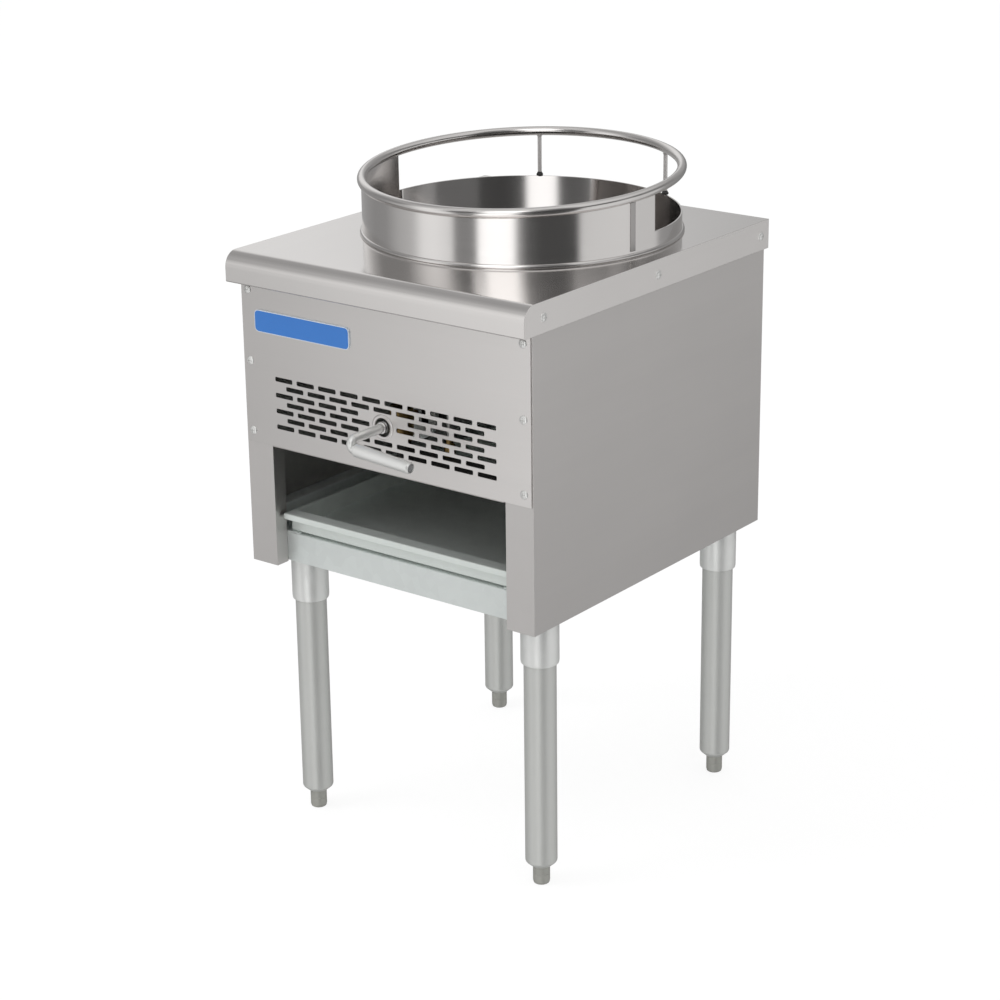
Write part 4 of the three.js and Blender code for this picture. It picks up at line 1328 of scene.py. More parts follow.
@dataclass
class Screws:
    """The domed screws of the front panel and the deck's skirts, and the small ones of the back."""

    head_radius: float = 5.8 * MM
    head_height: float = 2.7 * MM
    recess: float = 0.8 * MM
    back_radius: float = 3.2 * MM
    back_height: float = 0.9 * MM
    back_inset: float = 9 * MM
    back_drop: float = 40 * MM  # the top pair lies this much lower than the inset asks
    back_rows: int = 5

    def _seat(self, node: str, facing: Vector) -> Vector:
        """Where a screw's head sits: its own height behind the tip of its CAD node."""
        low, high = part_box(node)
        return middle(node) + facing * (abs((high - low).dot(facing)) / 2 - self.head_height)

    def _back_places(self) -> list[Vector]:
        """The places of the back panel's screws, down both its edges.

        Returns:
            The places, from the lowest pair up.
        """
        low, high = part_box("back_panel")
        bottom, top = low.z + self.back_inset, high.z - self.back_inset - self.back_drop
        heights = [bottom + (top - bottom) * i / (self.back_rows - 1) for i in range(self.back_rows)]
        columns = (low.x + self.back_inset, high.x - self.back_inset)
        return [Vector((x, high.y, z)) for z in heights for x in columns]

    def build(self) -> None:
        """Makes every screw."""
        tree = screw_tree(Finish.SATIN_PLATE)
        panel = {
            f"panel_screw_{row}_{side}": Vector((0, -1, 0))
            for row in ("top", "middle", "bottom")
            for side in SIDES
        }
        skirt = {
            f"skirt_screw_{row}_{side}": Vector((sign, 0, 0))
            for side, sign in SIDES.items()
            for row in ("front", "middle", "rear")
        }
        for name, facing in (("panel_screws", panel), ("skirt_screws", skirt)):
            start = seeds([self._seat(*screw) for screw in facing.items()], list(facing.values()))
            mesh = tree.run(start, radius=self.head_radius, height=self.head_height, recess=self.recess)
            put(name, mesh, "bright_plated", nodes=list(facing))
        places = self._back_places()
        start = seeds(places, [Vector((0, 1, 0))] * len(places))
        mesh = tree.run(start, radius=self.back_radius, height=self.back_height, recess=self.recess)
        put("back_rivets", mesh, "bright_plated")


@dataclass
class DripTray:
    """The sliding tray."""

    nodes: Nodes
    bend: float = 1.6 * MM

    def build(self) -> None:
        """Makes the tray."""
        FoldedSheet(self.nodes, "drip_tray", "tray_steel", Finish.TRAY_ZINC, self.bend, Body.TRAY).build()


@dataclass
class Legs:
    """Sockets, satin legs and levelling feet."""

    fillet: float = 1.2 * MM
    draft: float = 0.5 * MM  # how much narrower the socket's mouth is
    swage_wall: float = 1.6 * MM
    swage_step: float = 1 * MM
    swage_height: float = 6 * MM
    swage_shoulder: float = 2 * MM
    swage_bend: float = 3 * MM
    base_heights: tuple[float, float] = (0.8 * MM, 4 * MM)
    base_shares: tuple[float, float] = (0.84, 0.93)
    groove_height: float = 13 * MM
    groove_depth: float = 0.5 * MM
    groove_half: float = 0.6 * MM
    foot_fillet: float = 1 * MM

    def _socket(self, place: str) -> None:
        """Makes a cast socket.

        Args:
            place: The leg's place, such as front_left.
        """
        node = f"leg_socket_{place}"
        low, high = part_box(node)
        outer = half_width(node)
        bore = half_width(f"leg_tube_{place}") + SEAT
        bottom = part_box(f"leg_tube_{place}")[1].z + SEAT
        outline = [(0, high.z), (outer, high.z), (outer, low.z + 3 * self.fillet)]
        outline += [(outer - self.draft, low.z), (bore, low.z), (bore, bottom), (0, bottom)]
        mesh = Lathe.on(node).mesh(outline, self.fillet)
        put(f"socket_{place}", mesh, "galvanised", Finish.ZINC_CASTING, [node])

    def _tube(self, place: str) -> None:
        """Makes a leg with its swaged lower end.

        Args:
            place: The leg's place.
        """
        node = f"leg_tube_{place}"
        low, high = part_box(node)
        radius = half_width(node)
        guide = half_width(f"leg_foot_{place}") + SEAT
        swage = low.z + self.swage_height
        outline = [(guide, low.z), (guide + self.swage_wall, low.z), (radius - self.swage_step, swage)]
        outline += [(radius, swage + self.swage_shoulder), (radius, high.z), (guide, high.z)]
        mesh = Lathe.on(node).mesh(outline, self.swage_bend, 5)
        put(f"leg_{place}", mesh, "leg_steel", Finish.LEG_STEEL, [node])

    def _foot(self, place: str) -> None:
        """Makes a levelling foot with a rounded base and a turned groove.

        Args:
            place: The leg's place.
        """
        node = f"leg_foot_{place}"
        low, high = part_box(node)
        radius = half_width(node)
        groove = low.z + self.groove_height
        outline = [
            (0, low.z),
            (radius * self.base_shares[0], low.z),
            (radius * self.base_shares[1], low.z + self.base_heights[0]),
            (radius, low.z + self.base_heights[1]),
            (radius, groove),
            (radius - self.groove_depth, groove + self.groove_half),
            (radius, groove + 2 * self.groove_half),
            (radius, high.z),
            (0, high.z),
        ]
        mesh = Lathe.on(node).mesh(outline, self.foot_fillet)
        put(f"levelling_{place}", mesh, "leg_steel", Finish.FOOT_STEEL, [node], Body(f"foot_{place}"))

    def build(self) -> None:
        """Makes the four legs."""
        for place in (f"{end}_{side}" for end in ENDS for side in SIDES):
            self._socket(place)
            self._tube(place)
            self._foot(place)


@dataclass
class GuardRing:
    """The ring with its cut-down rear half, its slanting rolled rim, the two rods and the collar."""

    sides: int = 240
    sheet: float = 2 * MM
    edge: float = 0.5 * MM
    edge_share: float = 0.2
    seam_angle: float = -11.8  # from +X, in degrees
    seam_width: float = 8.5 * MM
    seam_rise: float = 0.6 * MM
    seam_foot: float = 7 * MM
    tuck: float = 1.3 * MM  # half the width of the rim's edge, which is tucked in against the wall
    tuck_share: float = 0.84  # of the rim's radius, how deep the edge lies
    rod_radius: float = 2.75 * MM
    rod_flare: float = 1.2 * MM
    rod_flare_height: float = 3 * MM
    rod_overlap: float = 1 * MM  # how far a rod reaches into the rim
    rod_fillet: float = 0.9 * MM
    weld_height: float = 5 * MM
    weld_rise: float = 2 * MM
    weld_fillet: float = 0.6 * MM
    bead_width: float = 3.6 * MM
    bead_height: float = 4.9 * MM
    bead_fillet: float = 1.4 * MM
    bead_overlap: float = 0.2 * MM  # how far the bead reaches into the wall

    RIM_ARC = (-68, 248, 36)  # the rim's first and last angle, in degrees, and its chords
    RIM_SHARP = 50
    BEAD = ((0, 0), (1, 0), (11 / 12, 0.45), (0.55, 0.92), (0, 1))  # shares of the bead's width and height

    def __post_init__(self) -> None:
        """Takes the ring's axis, its radii and its rim's slope from the frame."""
        self.lathe = Lathe.on("wok_ring_wall", Axis.Z, self.sides)
        self.radius = half_width("wok_ring_wall")
        self.mid_radius = self.radius - self.sheet / 2
        self.rim_radius = half_width("wok_ring_rim") - self.mid_radius
        self.rear_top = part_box("rim_rod_left")[0].z - SEAT
        low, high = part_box("wok_ring_rim")
        self.slope = (high.z - low.z - 2 * self.rim_radius) / (2 * self.mid_radius)

    def _slant(self, mesh: bpy.types.Mesh, above: float = 0.0) -> bpy.types.Mesh:
        """Slants what lies above a height, so that it follows the rim's rise to the rear."""
        for vertex in mesh.vertices:
            if vertex.co.z > above:
                vertex.co.z += self.slope * (vertex.co.y - self.lathe.centre.y)
        return mesh

    def _wall(self) -> None:
        """Makes the wall."""
        low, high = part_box("wok_ring_wall")
        wall = self.lathe.mesh(rectangle(self.radius - self.sheet, self.radius, low.z, high.z + SEAT))
        x, y, _ = self.lathe.centre
        beyond = self.radius + self.sheet
        rear = prism(rectangle(x - beyond, x + beyond, y, y + beyond), Axis.Z, self.rear_top, high.z + beyond)
        mesh = softened(cut(self._slant(wall, self.rear_top), rear), self.edge, self.edge_share)
        bevel = Bevel(self.edge, 2)
        put("ring_wall", mesh, "polished_steel", Finish.RING_STEEL, ["wok_ring_wall"], bevel=bevel)

    def _seam(self) -> None:
        """Makes the lapped joint of the sheet that the ring is rolled from, whose steel is painted darker as
        the shade in the lap.
        """
        half = math.degrees(self.seam_width / 2 / self.radius)
        start, end = self.seam_angle - half, self.seam_angle + half
        x, y, _ = self.lathe.centre
        outline = arc(x, y, self.radius + self.seam_rise, start, end, 8)
        outline += arc(x, y, self.mid_radius, end, start, 8)
        foot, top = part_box("deck_top")[1].z + self.seam_foot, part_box("wok_ring_wall")[1].z
        mesh = self._slant(prism(outline, Axis.Z, foot, top), self.rear_top)
        # painted shade: the seam gets the darker steel
        put("ring_seam", mesh, "polished_steel", Finish.SEAM_STEEL_PAINTED_DARKER)

    def _rim(self) -> None:
        """Makes the rolled rim, whose edge tucks in against the wall."""
        low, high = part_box("wok_ring_rim")
        height = (low.z + high.z) / 2
        edge = height - self.tuck_share * self.rim_radius
        outline = arc(self.mid_radius, height, self.rim_radius, *self.RIM_ARC)
        outline += [(self.mid_radius - self.tuck, edge), (self.mid_radius + self.tuck, edge)]
        mesh = self._slant(self.lathe.mesh(outline, sharp=self.RIM_SHARP))
        put("ring_rim", mesh, "polished_steel", Finish.BEAD_STEEL, ["wok_ring_rim"])

    def _rods(self) -> None:
        """Makes the two rods and the dark welds at their feet."""
        for side in SIDES:
            node = f"rim_rod_{side}"
            low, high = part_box(node)
            lathe = Lathe.on(node, Axis.Z, 32)
            radius, foot = self.rod_radius, half_width(node)
            neck, top = low.z + self.weld_height, high.z + self.rod_overlap
            outline = [(0, neck), (radius, neck), (radius, top - self.rod_flare_height)]
            outline += [(radius + self.rod_flare, top), (0, top)]
            rod = lathe.mesh(outline, self.rod_fillet, 3)
            put(f"rod_{side}", rod, "polished_steel", Finish.ROD_STEEL, [node])
            outline = [(0, low.z), (foot, low.z), (foot, low.z + self.weld_rise), (radius, neck), (0, neck)]
            weld = lathe.mesh(outline, self.weld_fillet, 3)
            put(f"rod_weld_{side}", weld, "polished_steel", Finish.WELD_SCALE)

    def _collar(self) -> None:
        """Makes the rounded bead between the ring and the deck."""
        inner = self.radius - self.bead_overlap
        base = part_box("deck_collar")[0].z - SEAT
        outline = [(inner + u * self.bead_width, base + v * self.bead_height) for u, v in self.BEAD]
        mesh = self.lathe.mesh(outline, self.bead_fillet)
        put("ring_collar", mesh, "polished_steel", Finish.BEAD_STEEL, ["deck_collar"])

    def build(self) -> None:
        """Makes the ring."""
        self._wall()
        self._seam()
        self._rim()
        self._rods()
        self._collar()


@dataclass
class Burner:
    """The cast burner, its mixing tube with the air shutter, its pilot and the chamber's floor."""

    nodes: Nodes
    ridges: int = 3
    ridge_width: float = 12 * MM
    ridge_bevel: float = 3 * MM
    head_fillet: float = 1.5 * MM
    base: float = 8 * MM
    port_pitch: float = 13 * MM
    port_radii: tuple[float, float] = (2.4 * MM, 1.2 * MM)
    port_height: float = 0.39 * MM
    port_sink: float = 0.4 * MM  # how far below the ridge's top a port is set
    tube_radius: float = 22 * MM
    tube_wall: float = 3 * MM
    tube_bend: float = 46 * MM
    tube_sides: int = 64
    flange: float = 17 * MM
    flange_height: float = 5 * MM
    flange_fillet: float = 1 * MM
    bell_radius: float = 30 * MM
    bell_length: float = 10 * MM
    bell_fillet: float = 2.5 * MM
    spud: float = 6 * MM
    shutter_sheet: float = 1.5 * MM
    shutter_fillet: float = 0.6 * MM
    window: float = 11 * MM
    window_inset: float = 9 * MM
    window_corner: float = 2 * MM
    window_reach: float = 0.15 * MM  # how far the cut goes past the cap's inner face
    pilot_neck: float = 4.5 * MM
    pilot_tip: float = 2.7 * MM
    pilot_foot: float = 2.5 * MM
    pilot_shoulder: float = 3.5 * MM
    pilot_taper: float = 7.6 * MM
    pilot_bore: tuple[float, float] = (1.6 * MM, 1.4 * MM)
    pilot_depth: float = 4 * MM
    pilot_fillet: float = 0.5 * MM

    def _ridge_radii(self) -> list[tuple[float, float]]:
        """Each ridge's outer and inner radius.

        Returns:
            The pairs, from the outermost ridge in.
        """
        radius = half_width("burner_head")
        outer = [radius - i * radius / self.ridges for i in range(self.ridges)]
        return [(edge, edge - self.ridge_width) for edge in outer]

    def _head(self) -> None:
        """Makes the ridged casting with a pad in its middle."""
        low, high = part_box("burner_head")
        floor, shoulder = low.z + self.base, high.z - self.ridge_bevel
        outline = [(0, low.z), (half_width("burner_head"), low.z)]
        for i, (outer, inner) in enumerate(self._ridge_radii()):
            outline += [(outer, floor)] if i else []
            outline += [(outer, shoulder), (outer - self.ridge_bevel, high.z)]
            outline += [(inner + self.ridge_bevel, high.z), (inner, shoulder), (inner, floor)]
        mesh = Lathe.on("burner_head", Axis.Z, 144).mesh([*outline, (0, floor)], self.head_fillet, 3)
        put("burner_casting", mesh, "cast_iron", Finish.BURNER_IRON, ["burner_head"])

    def _ports(self) -> None:
        """Makes the raised flame ports round the top of each ridge."""
        centre = Lathe.on("burner_head").centre
        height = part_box("burner_head")[1].z - self.port_sink
        places = []
        for outer, inner in self._ridge_radii():
            radius = (outer + inner) / 2
            count = round(math.tau * radius / self.port_pitch)
            places += [centre + Vector((*point, height)) for point in arc(0, 0, radius, 0, 360, count)[:-1]]
        outer, inner = self.port_radii
        tree = port_tree(Finish.VALVE_BRASS)
        mesh = tree.run(seeds(places), outer=outer, inner=inner, height=self.port_height)
        put("burner_ports", mesh, "brass")

    def _venturi(self) -> None:
        """Makes the mixing tube with its bell mouth and its flange."""
        low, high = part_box("burner_venturi")
        z = middle("air_shutter").z
        y = middle("burner_head").y
        places = [Vector((0, low.y + self.bell_length, z)), Vector((0, y, z)), Vector((0, y, high.z - MM))]
        tube = bar(places, Finish.BURNER_IRON, self.tube_radius, self.tube_bend, self.tube_sides)
        bore = self.tube_radius - self.tube_wall
        outline = rectangle(bore, self.tube_radius + self.flange, high.z - self.flange_height, high.z)
        flange = Lathe.on("burner_head", Axis.Z, self.tube_sides).mesh(outline, self.flange_fillet)
        bell_end = low.y + self.bell_length
        outline = [(bore, low.y), (self.bell_radius, low.y), (self.bell_radius, bell_end)]
        outline += [(self.tube_radius, bell_end + self.bell_length), (bore, bell_end + self.bell_length)]
        bell = Lathe.on("air_shutter", Axis.Y, self.tube_sides).mesh(outline, self.bell_fillet)
        put("mixing_tube", merged(tube, flange, bell), "cast_iron", Finish.BURNER_IRON, ["burner_venturi"])

    def _shutter(self) -> None:
        """Makes the turning cap with its two windows."""
        low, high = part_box("air_shutter")
        outer, bore = (high.z - low.z) / 2, self.spud + SEAT
        inside = low.y + self.shutter_sheet
        outline = [(bore, low.y), (outer, low.y), (outer, high.y), (outer - self.shutter_sheet, high.y)]
        outline += [(outer - self.shutter_sheet, inside), (bore, inside)]
        z = (low.z + high.z) / 2
        cap = Lathe(Vector((0, 0, z)), Axis.Y, self.tube_sides).mesh(outline, self.shutter_fillet, 3)
        windows = []
        for sign in SIDES.values():
            left, right = sorted((sign * self.window_inset, sign * (self.window_inset + self.window)))
            corners = rounded(rectangle(left, right, z - self.window, z + self.window), self.window_corner)
            windows.append(prism(corners, Axis.Y, low.y - MM, inside + self.window_reach))
        put("shutter_cap", cut(cap, *windows), "galvanised", Finish.ZINC_SHEET, ["air_shutter"], Body.SHUTTER)

    def _pilot(self) -> None:
        """Makes the pilot burner."""
        low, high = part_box("pilot_burner")
        base = half_width("pilot_burner")
        mouth, bore = self.pilot_bore
        outline = [
            (0, low.z),
            (base, low.z),
            (base, low.z + self.pilot_foot),
            (self.pilot_neck, low.z + self.pilot_shoulder),
            (self.pilot_neck, high.z - self.pilot_taper),
            (self.pilot_tip, high.z),
            (mouth, high.z),
            (bore, high.z - self.pilot_depth),
            (0, high.z - self.pilot_depth),
        ]
        mesh = Lathe.on("pilot_burner", Axis.Z, 40).mesh(outline, self.pilot_fillet, 3)
        put("pilot_head", mesh, "brass", Finish.VALVE_BRASS, ["pilot_burner"])

    def build(self) -> None:
        """Makes the burner and gives the chamber's floor its finish."""
        self._head()
        self._ports()
        self._venturi()
        self._shutter()
        self._pilot()
        floor = self.nodes["chamber_floor"].data.materials
        floor.clear()
        floor.append(Finish.CHAMBER_STEEL.material())


@dataclass
class GasTrain:
    """The valve, its pipes, the inlet nut and the pilot's valve and tube."""

    sides: int = 64
    barrel_foot: float = 13 * MM
    barrel_inset: float = 7 * MM  # the barrel's axis lies this far behind the pilot valve's front
    barrel_fillet: float = 1.6 * MM
    neck: float = 9.5 * MM
    neck_fillet: float = 1 * MM
    spud: float = 6 * MM
    spud_cone: float = 2 * MM
    spud_fillet: float = 0.6 * MM
    jet: tuple[float, float] = (4 * MM, 1.2 * MM)
    jet_depth: float = 3 * MM
    pipe_radius: float = 10.65 * MM
    pipe_bend: float = 15 * MM
    tube_radius: float = 3.2 * MM
    tube_bend: float = 14 * MM
    tube_rise: float = 46 * MM
    tube_sides: int = 24
    cock_shoulder: float = 14.4 * MM
    cock_taper: float = 2.4 * MM
    cock_wall: float = 1.5 * MM
    cock_fillet: float = 0.8 * MM
    chamfer: float = 4.6 * MM
    chamfer_start: float = 0.9  # of the corners' distance from the axis
    chamfer_rise: float = 0.2 * MM

    def _barrel_y(self) -> float:
        """Where the barrel's upright axis lies."""
        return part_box("pilot_valve")[0].y + self.barrel_inset

    def _valve(self) -> None:
        """Makes the valve's body: barrel, neck and spud."""
        low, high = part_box("gas_valve_body")
        y = self._barrel_y()
        z = middle("valve_stem").z
        radius, foot = half_width("gas_valve_body"), 2 * z - high.z
        outline = [(0, low.z), (self.barrel_foot, low.z), (self.barrel_foot, foot)]
        outline += [(radius, foot), (radius, high.z), (0, high.z)]
        barrel = Lathe(Vector((0, y, 0)), Axis.Z, self.sides).mesh(outline, self.barrel_fillet)
        level = Lathe(Vector((0, 0, z)), Axis.Y, self.sides)
        neck = level.mesh(rectangle(0, self.neck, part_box("valve_bonnet")[1].y + SEAT, y), self.neck_fillet, 3)
        face, bore = self.jet
        outline = [(0, y), (self.spud, y), (self.spud, high.y - self.spud_cone), (face, high.y)]
        outline += [(bore, high.y), (bore, high.y - self.jet_depth), (0, high.y - self.jet_depth)]
        spud = level.mesh(outline, self.spud_fillet, 3)
        mesh = merged(barrel, neck, spud)
        put("valve_casting", mesh, "brass", Finish.VALVE_BRASS, ["gas_valve_body"])

    def _pipes(self) -> None:
        """Makes the gas pipe and the pilot's tube."""
        y = self._barrel_y()
        end_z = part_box("gas_valve_body")[0].z - SEAT
        inlet = middle("gas_inlet_nut")
        places = [
            Vector((inlet.x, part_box("gas_pipe")[1].y, inlet.z)),
            Vector((inlet.x, y, inlet.z)),
            Vector((0, y, inlet.z)),
            Vector((0, y, end_z)),
        ]
        pipe = bar(places, Finish.PIPE_BLACK, self.pipe_radius, self.pipe_bend)
        put("supply_pipe", pipe, "black_pipe", nodes=["gas_pipe"])
        low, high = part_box("pilot_tube")
        level = low.z + self.tube_rise
        cock, pilot = middle("pilot_valve"), middle("pilot_burner")
        stops = ((cock, low.z), (cock, level), (pilot, level), (pilot, high.z))
        places = [Vector((place.x, place.y, z)) for place, z in stops]
        tube = bar(places, Finish.PILOT_TUBE, self.tube_radius, self.tube_bend, self.tube_sides)
        put("pilot_line", tube, "tube_aluminium", nodes=["pilot_tube"])

    def _pilot_valve(self) -> None:
        """Makes the pilot's little valve."""
        low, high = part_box("pilot_valve")
        radius, neck = half_width("pilot_valve"), self.tube_radius + self.cock_wall
        shoulder = low.z + self.cock_shoulder
        outline = [(0, low.z), (radius, low.z), (radius, shoulder)]
        outline += [(neck, shoulder + self.cock_taper), (neck, high.z), (0, high.z)]
        mesh = Lathe.on("pilot_valve", Axis.Z, 48).mesh(outline, self.cock_fillet, 3)
        put("pilot_cock", mesh, "brass", Finish.VALVE_BRASS, ["pilot_valve"])

    def _nut(self) -> None:
        """Makes the six-sided inlet nut with chamfered corners."""
        low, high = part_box("gas_inlet_nut")
        x, _, z = middle("gas_inlet_nut")
        corner = (high.z - low.z) / 2
        flats = prism(arc(x, z, corner, 90, 390, 5), Axis.Y, low.y, high.y)
        lathe = Lathe.on("gas_inlet_nut", Axis.Y)
        edge, start, beyond = high.y + self.chamfer_rise, self.chamfer_start * corner, 2 * corner
        outline = [(start, edge), (beyond, edge - self.chamfer), (beyond, high.y + MM), (start, high.y + MM)]
        shaver = lathe.mesh(outline)
        bore = lathe.mesh(rectangle(0, self.pipe_radius + SEAT, low.y - MM, high.y + MM))
        put("inlet_nut", cut(flats, shaver, bore), "brass", Finish.VALVE_BRASS, ["gas_inlet_nut"])

    def build(self) -> None:
        """Makes the gas train."""
        self._valve()
        self._pipes()
        self._pilot_valve()
        self._nut()


@dataclass
class Lever:
    """The bezel, the hub and the turning lever with its tapered grip."""

    bezel_width: float = 4.5 * MM
    bezel_round: float = 1.6 * MM
    bezel_drops: tuple[float, float] = (0.3 * MM, 0.9 * MM)  # of its inner and its outer edge
    hub_bore: float = 4.35 * MM
    hub_chamfer: float = 0.8 * MM
    hub_groove: float = 0.7 * MM
    edge_fillet: float = 0.6 * MM
    fine_fillet: float = 0.4 * MM
    hub_heights: tuple[float, ...] = (0.8 * MM, 3.2 * MM, 3.7 * MM, 4.2 * MM)
    rod: float = 6 * MM
    rod_bend: float = 7 * MM
    rod_lead: float = 4 * MM  # how far inside its hub end the rod starts
    cuff: float = 9 * MM
    cuff_chamfer: float = 0.6 * MM
    droop: float = 4.5  # of the grip below the level, in degrees
    grip_start: float = 7 * MM
    grip_end: float = 93 * MM
    grip_bore: float = 62 * MM
    collar_length: float = 20 * MM
    grip_round: float = 1.2 * MM
    collar_drop: float = 0.35 * MM
    inner_radius: float = 8.6 * MM
    outer_radius: float = 7.2 * MM
    end_rise: float = 0.1 * MM
    end_drop: float = 0.6 * MM
    end_length: float = 3 * MM
    plug_depth: float = 9 * MM
    plug_wall: float = 1.4 * MM
    plug_dome: tuple[float, float, float] = (1.8 * MM, 1 * MM, 1.3 * MM)  # its face's depths, from the rim in
    plug_edge: float = 1.2 * MM
    plug_fillet: float = 0.5 * MM
    spigot: float = 60 * MM

    def _grip_origin(self) -> Vector:
        """Where the grip's axis starts: on the stem's upright plane.

        Returns:
            The point.
        """
        grip, stem = middle("lever_grip"), middle("valve_stem")
        rise = (grip.x - stem.x) * math.tan(math.radians(self.droop))
        return Vector((stem.x, grip.y, grip.z + rise))

    def _onto_grip(self, mesh: bpy.types.Mesh) -> bpy.types.Mesh:
        """Moves a mesh made along X onto the drooping axis of the grip.

        Args:
            mesh: The mesh, which is moved itself.

        Returns:
            The same mesh.
        """
        mesh.transform(Matrix.Rotation(math.radians(self.droop), 4, "Y"))
        mesh.transform(Matrix.Translation(self._grip_origin()))
        return mesh

    def _hub(self) -> None:
        """Makes the bezel round the hole and the hub in it."""
        low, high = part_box("stem_bezel")
        lathe = Lathe.on("valve_stem", Axis.Y)
        outer = half_width("stem_bezel")
        inner = outer - self.bezel_width
        drop, fall = self.bezel_drops
        outline = [(inner, low.y + drop), (outer - self.bezel_round, low.y), (outer, low.y + fall)]
        bezel = lathe.mesh([*outline, (outer, high.y + SEAT), (inner, high.y + SEAT)], self.edge_fillet)
        put("stem_ring", bezel, "bright_plated", Finish.PANEL_STEEL, ["stem_bezel"])
        low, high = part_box("valve_bonnet")
        outer = half_width("valve_bonnet")
        edge, groove_start, groove, groove_end = (low.y + height for height in self.hub_heights)
        outline = [
            (self.hub_bore, low.y),
            (outer - self.hub_chamfer, low.y),
            (outer, edge),
            (outer, groove_start),
            (outer - self.hub_groove, groove),
            (outer, groove_end),
            (outer, high.y),
            (self.hub_bore, high.y),
        ]
        hub = lathe.mesh(outline, self.fine_fillet, 3)
        put("hub", hub, "bright_plated", Finish.BRIGHT_PLATE, ["valve_bonnet"])

    def _stem(self) -> None:
        """Makes the turning stem."""
        low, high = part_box("valve_stem")
        outline = rectangle(0, half_width("valve_stem"), low.y, high.y)
        mesh = Lathe.on("valve_stem", Axis.Y, 40).mesh(outline, self.edge_fillet, 3)
        put("turning_stem", mesh, "brass", Finish.VALVE_BRASS, ["valve_stem"], Body.LEVER)

    def _arm(self) -> None:
        """Makes the bent rod and its hub end."""
        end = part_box("lever_arm")[1].y
        axis = middle("valve_stem")
        origin = self._grip_origin()
        slope = math.radians(self.droop)
        tip = origin + Vector((math.cos(slope), 0, -math.sin(slope))) * self.spigot
        places = [Vector((axis.x, y, axis.z)) for y in (end - self.rod_lead, origin.y)]
        places += [origin, tip]
        rod = bar(places, Finish.SATIN_PLATE, self.rod, self.rod_bend)
        chamfered = [(self.rod - self.cuff_chamfer, end), (self.rod, end - self.cuff_chamfer)]
        foot = end - self.cuff
        outline = [(self.hub_bore, end), *chamfered, (self.rod, foot), (self.hub_bore, foot)]
        cuff = Lathe.on("valve_stem", Axis.Y, 64).mesh(outline, self.fine_fillet, 3)
        put("lever_rod", merged(rod, cuff), "bright_plated", Finish.SATIN_PLATE, ["lever_arm"], Body.LEVER)

    def _grip(self) -> None:
        """Makes the tapered sleeve with a rolled collar, and the plug in its end."""
        bore, plug_bore = self.rod + SEAT, self.outer_radius - self.plug_wall
        start, end = self.grip_start, self.grip_end
        seat, bore_end = end - self.plug_depth, start + self.grip_bore
        outline = [
            (bore, start),
            (self.inner_radius - self.grip_round, start),
            (self.inner_radius, start + self.grip_round),
            (self.inner_radius - self.collar_drop, start + self.collar_length),
            (self.outer_radius + self.end_rise, end - self.end_length),
            (self.outer_radius - self.end_drop, end),
            (plug_bore, end),
            (plug_bore, seat),
            (0, seat),
            (0, bore_end),
            (bore, bore_end),
        ]
        lathe = Lathe(Vector(), Axis.X)
        grip = self._onto_grip(lathe.mesh(outline, self.grip_round))
        put("lever_sleeve", grip, "bright_plated", Finish.SATIN_PLATE, ["lever_grip"], Body.LEVER)
        radius = plug_bore - SEAT
        rim, crown, centre = (end - depth for depth in self.plug_dome)
        outline = [(0, seat + SEAT), (radius, seat + SEAT), (radius, rim)]
        outline += [(radius - self.plug_edge, crown), (0, centre)]
        plug = self._onto_grip(lathe.mesh(outline, self.plug_fillet, 3))
        put("sleeve_plug", plug, "plug_black", Finish.GRIP_PLUG, ["grip_plug"], Body.LEVER)

    def build(self) -> None:
        """Makes the lever and what it turns in."""
        self._hub()
        self._stem()
        self._arm()
        self._grip()


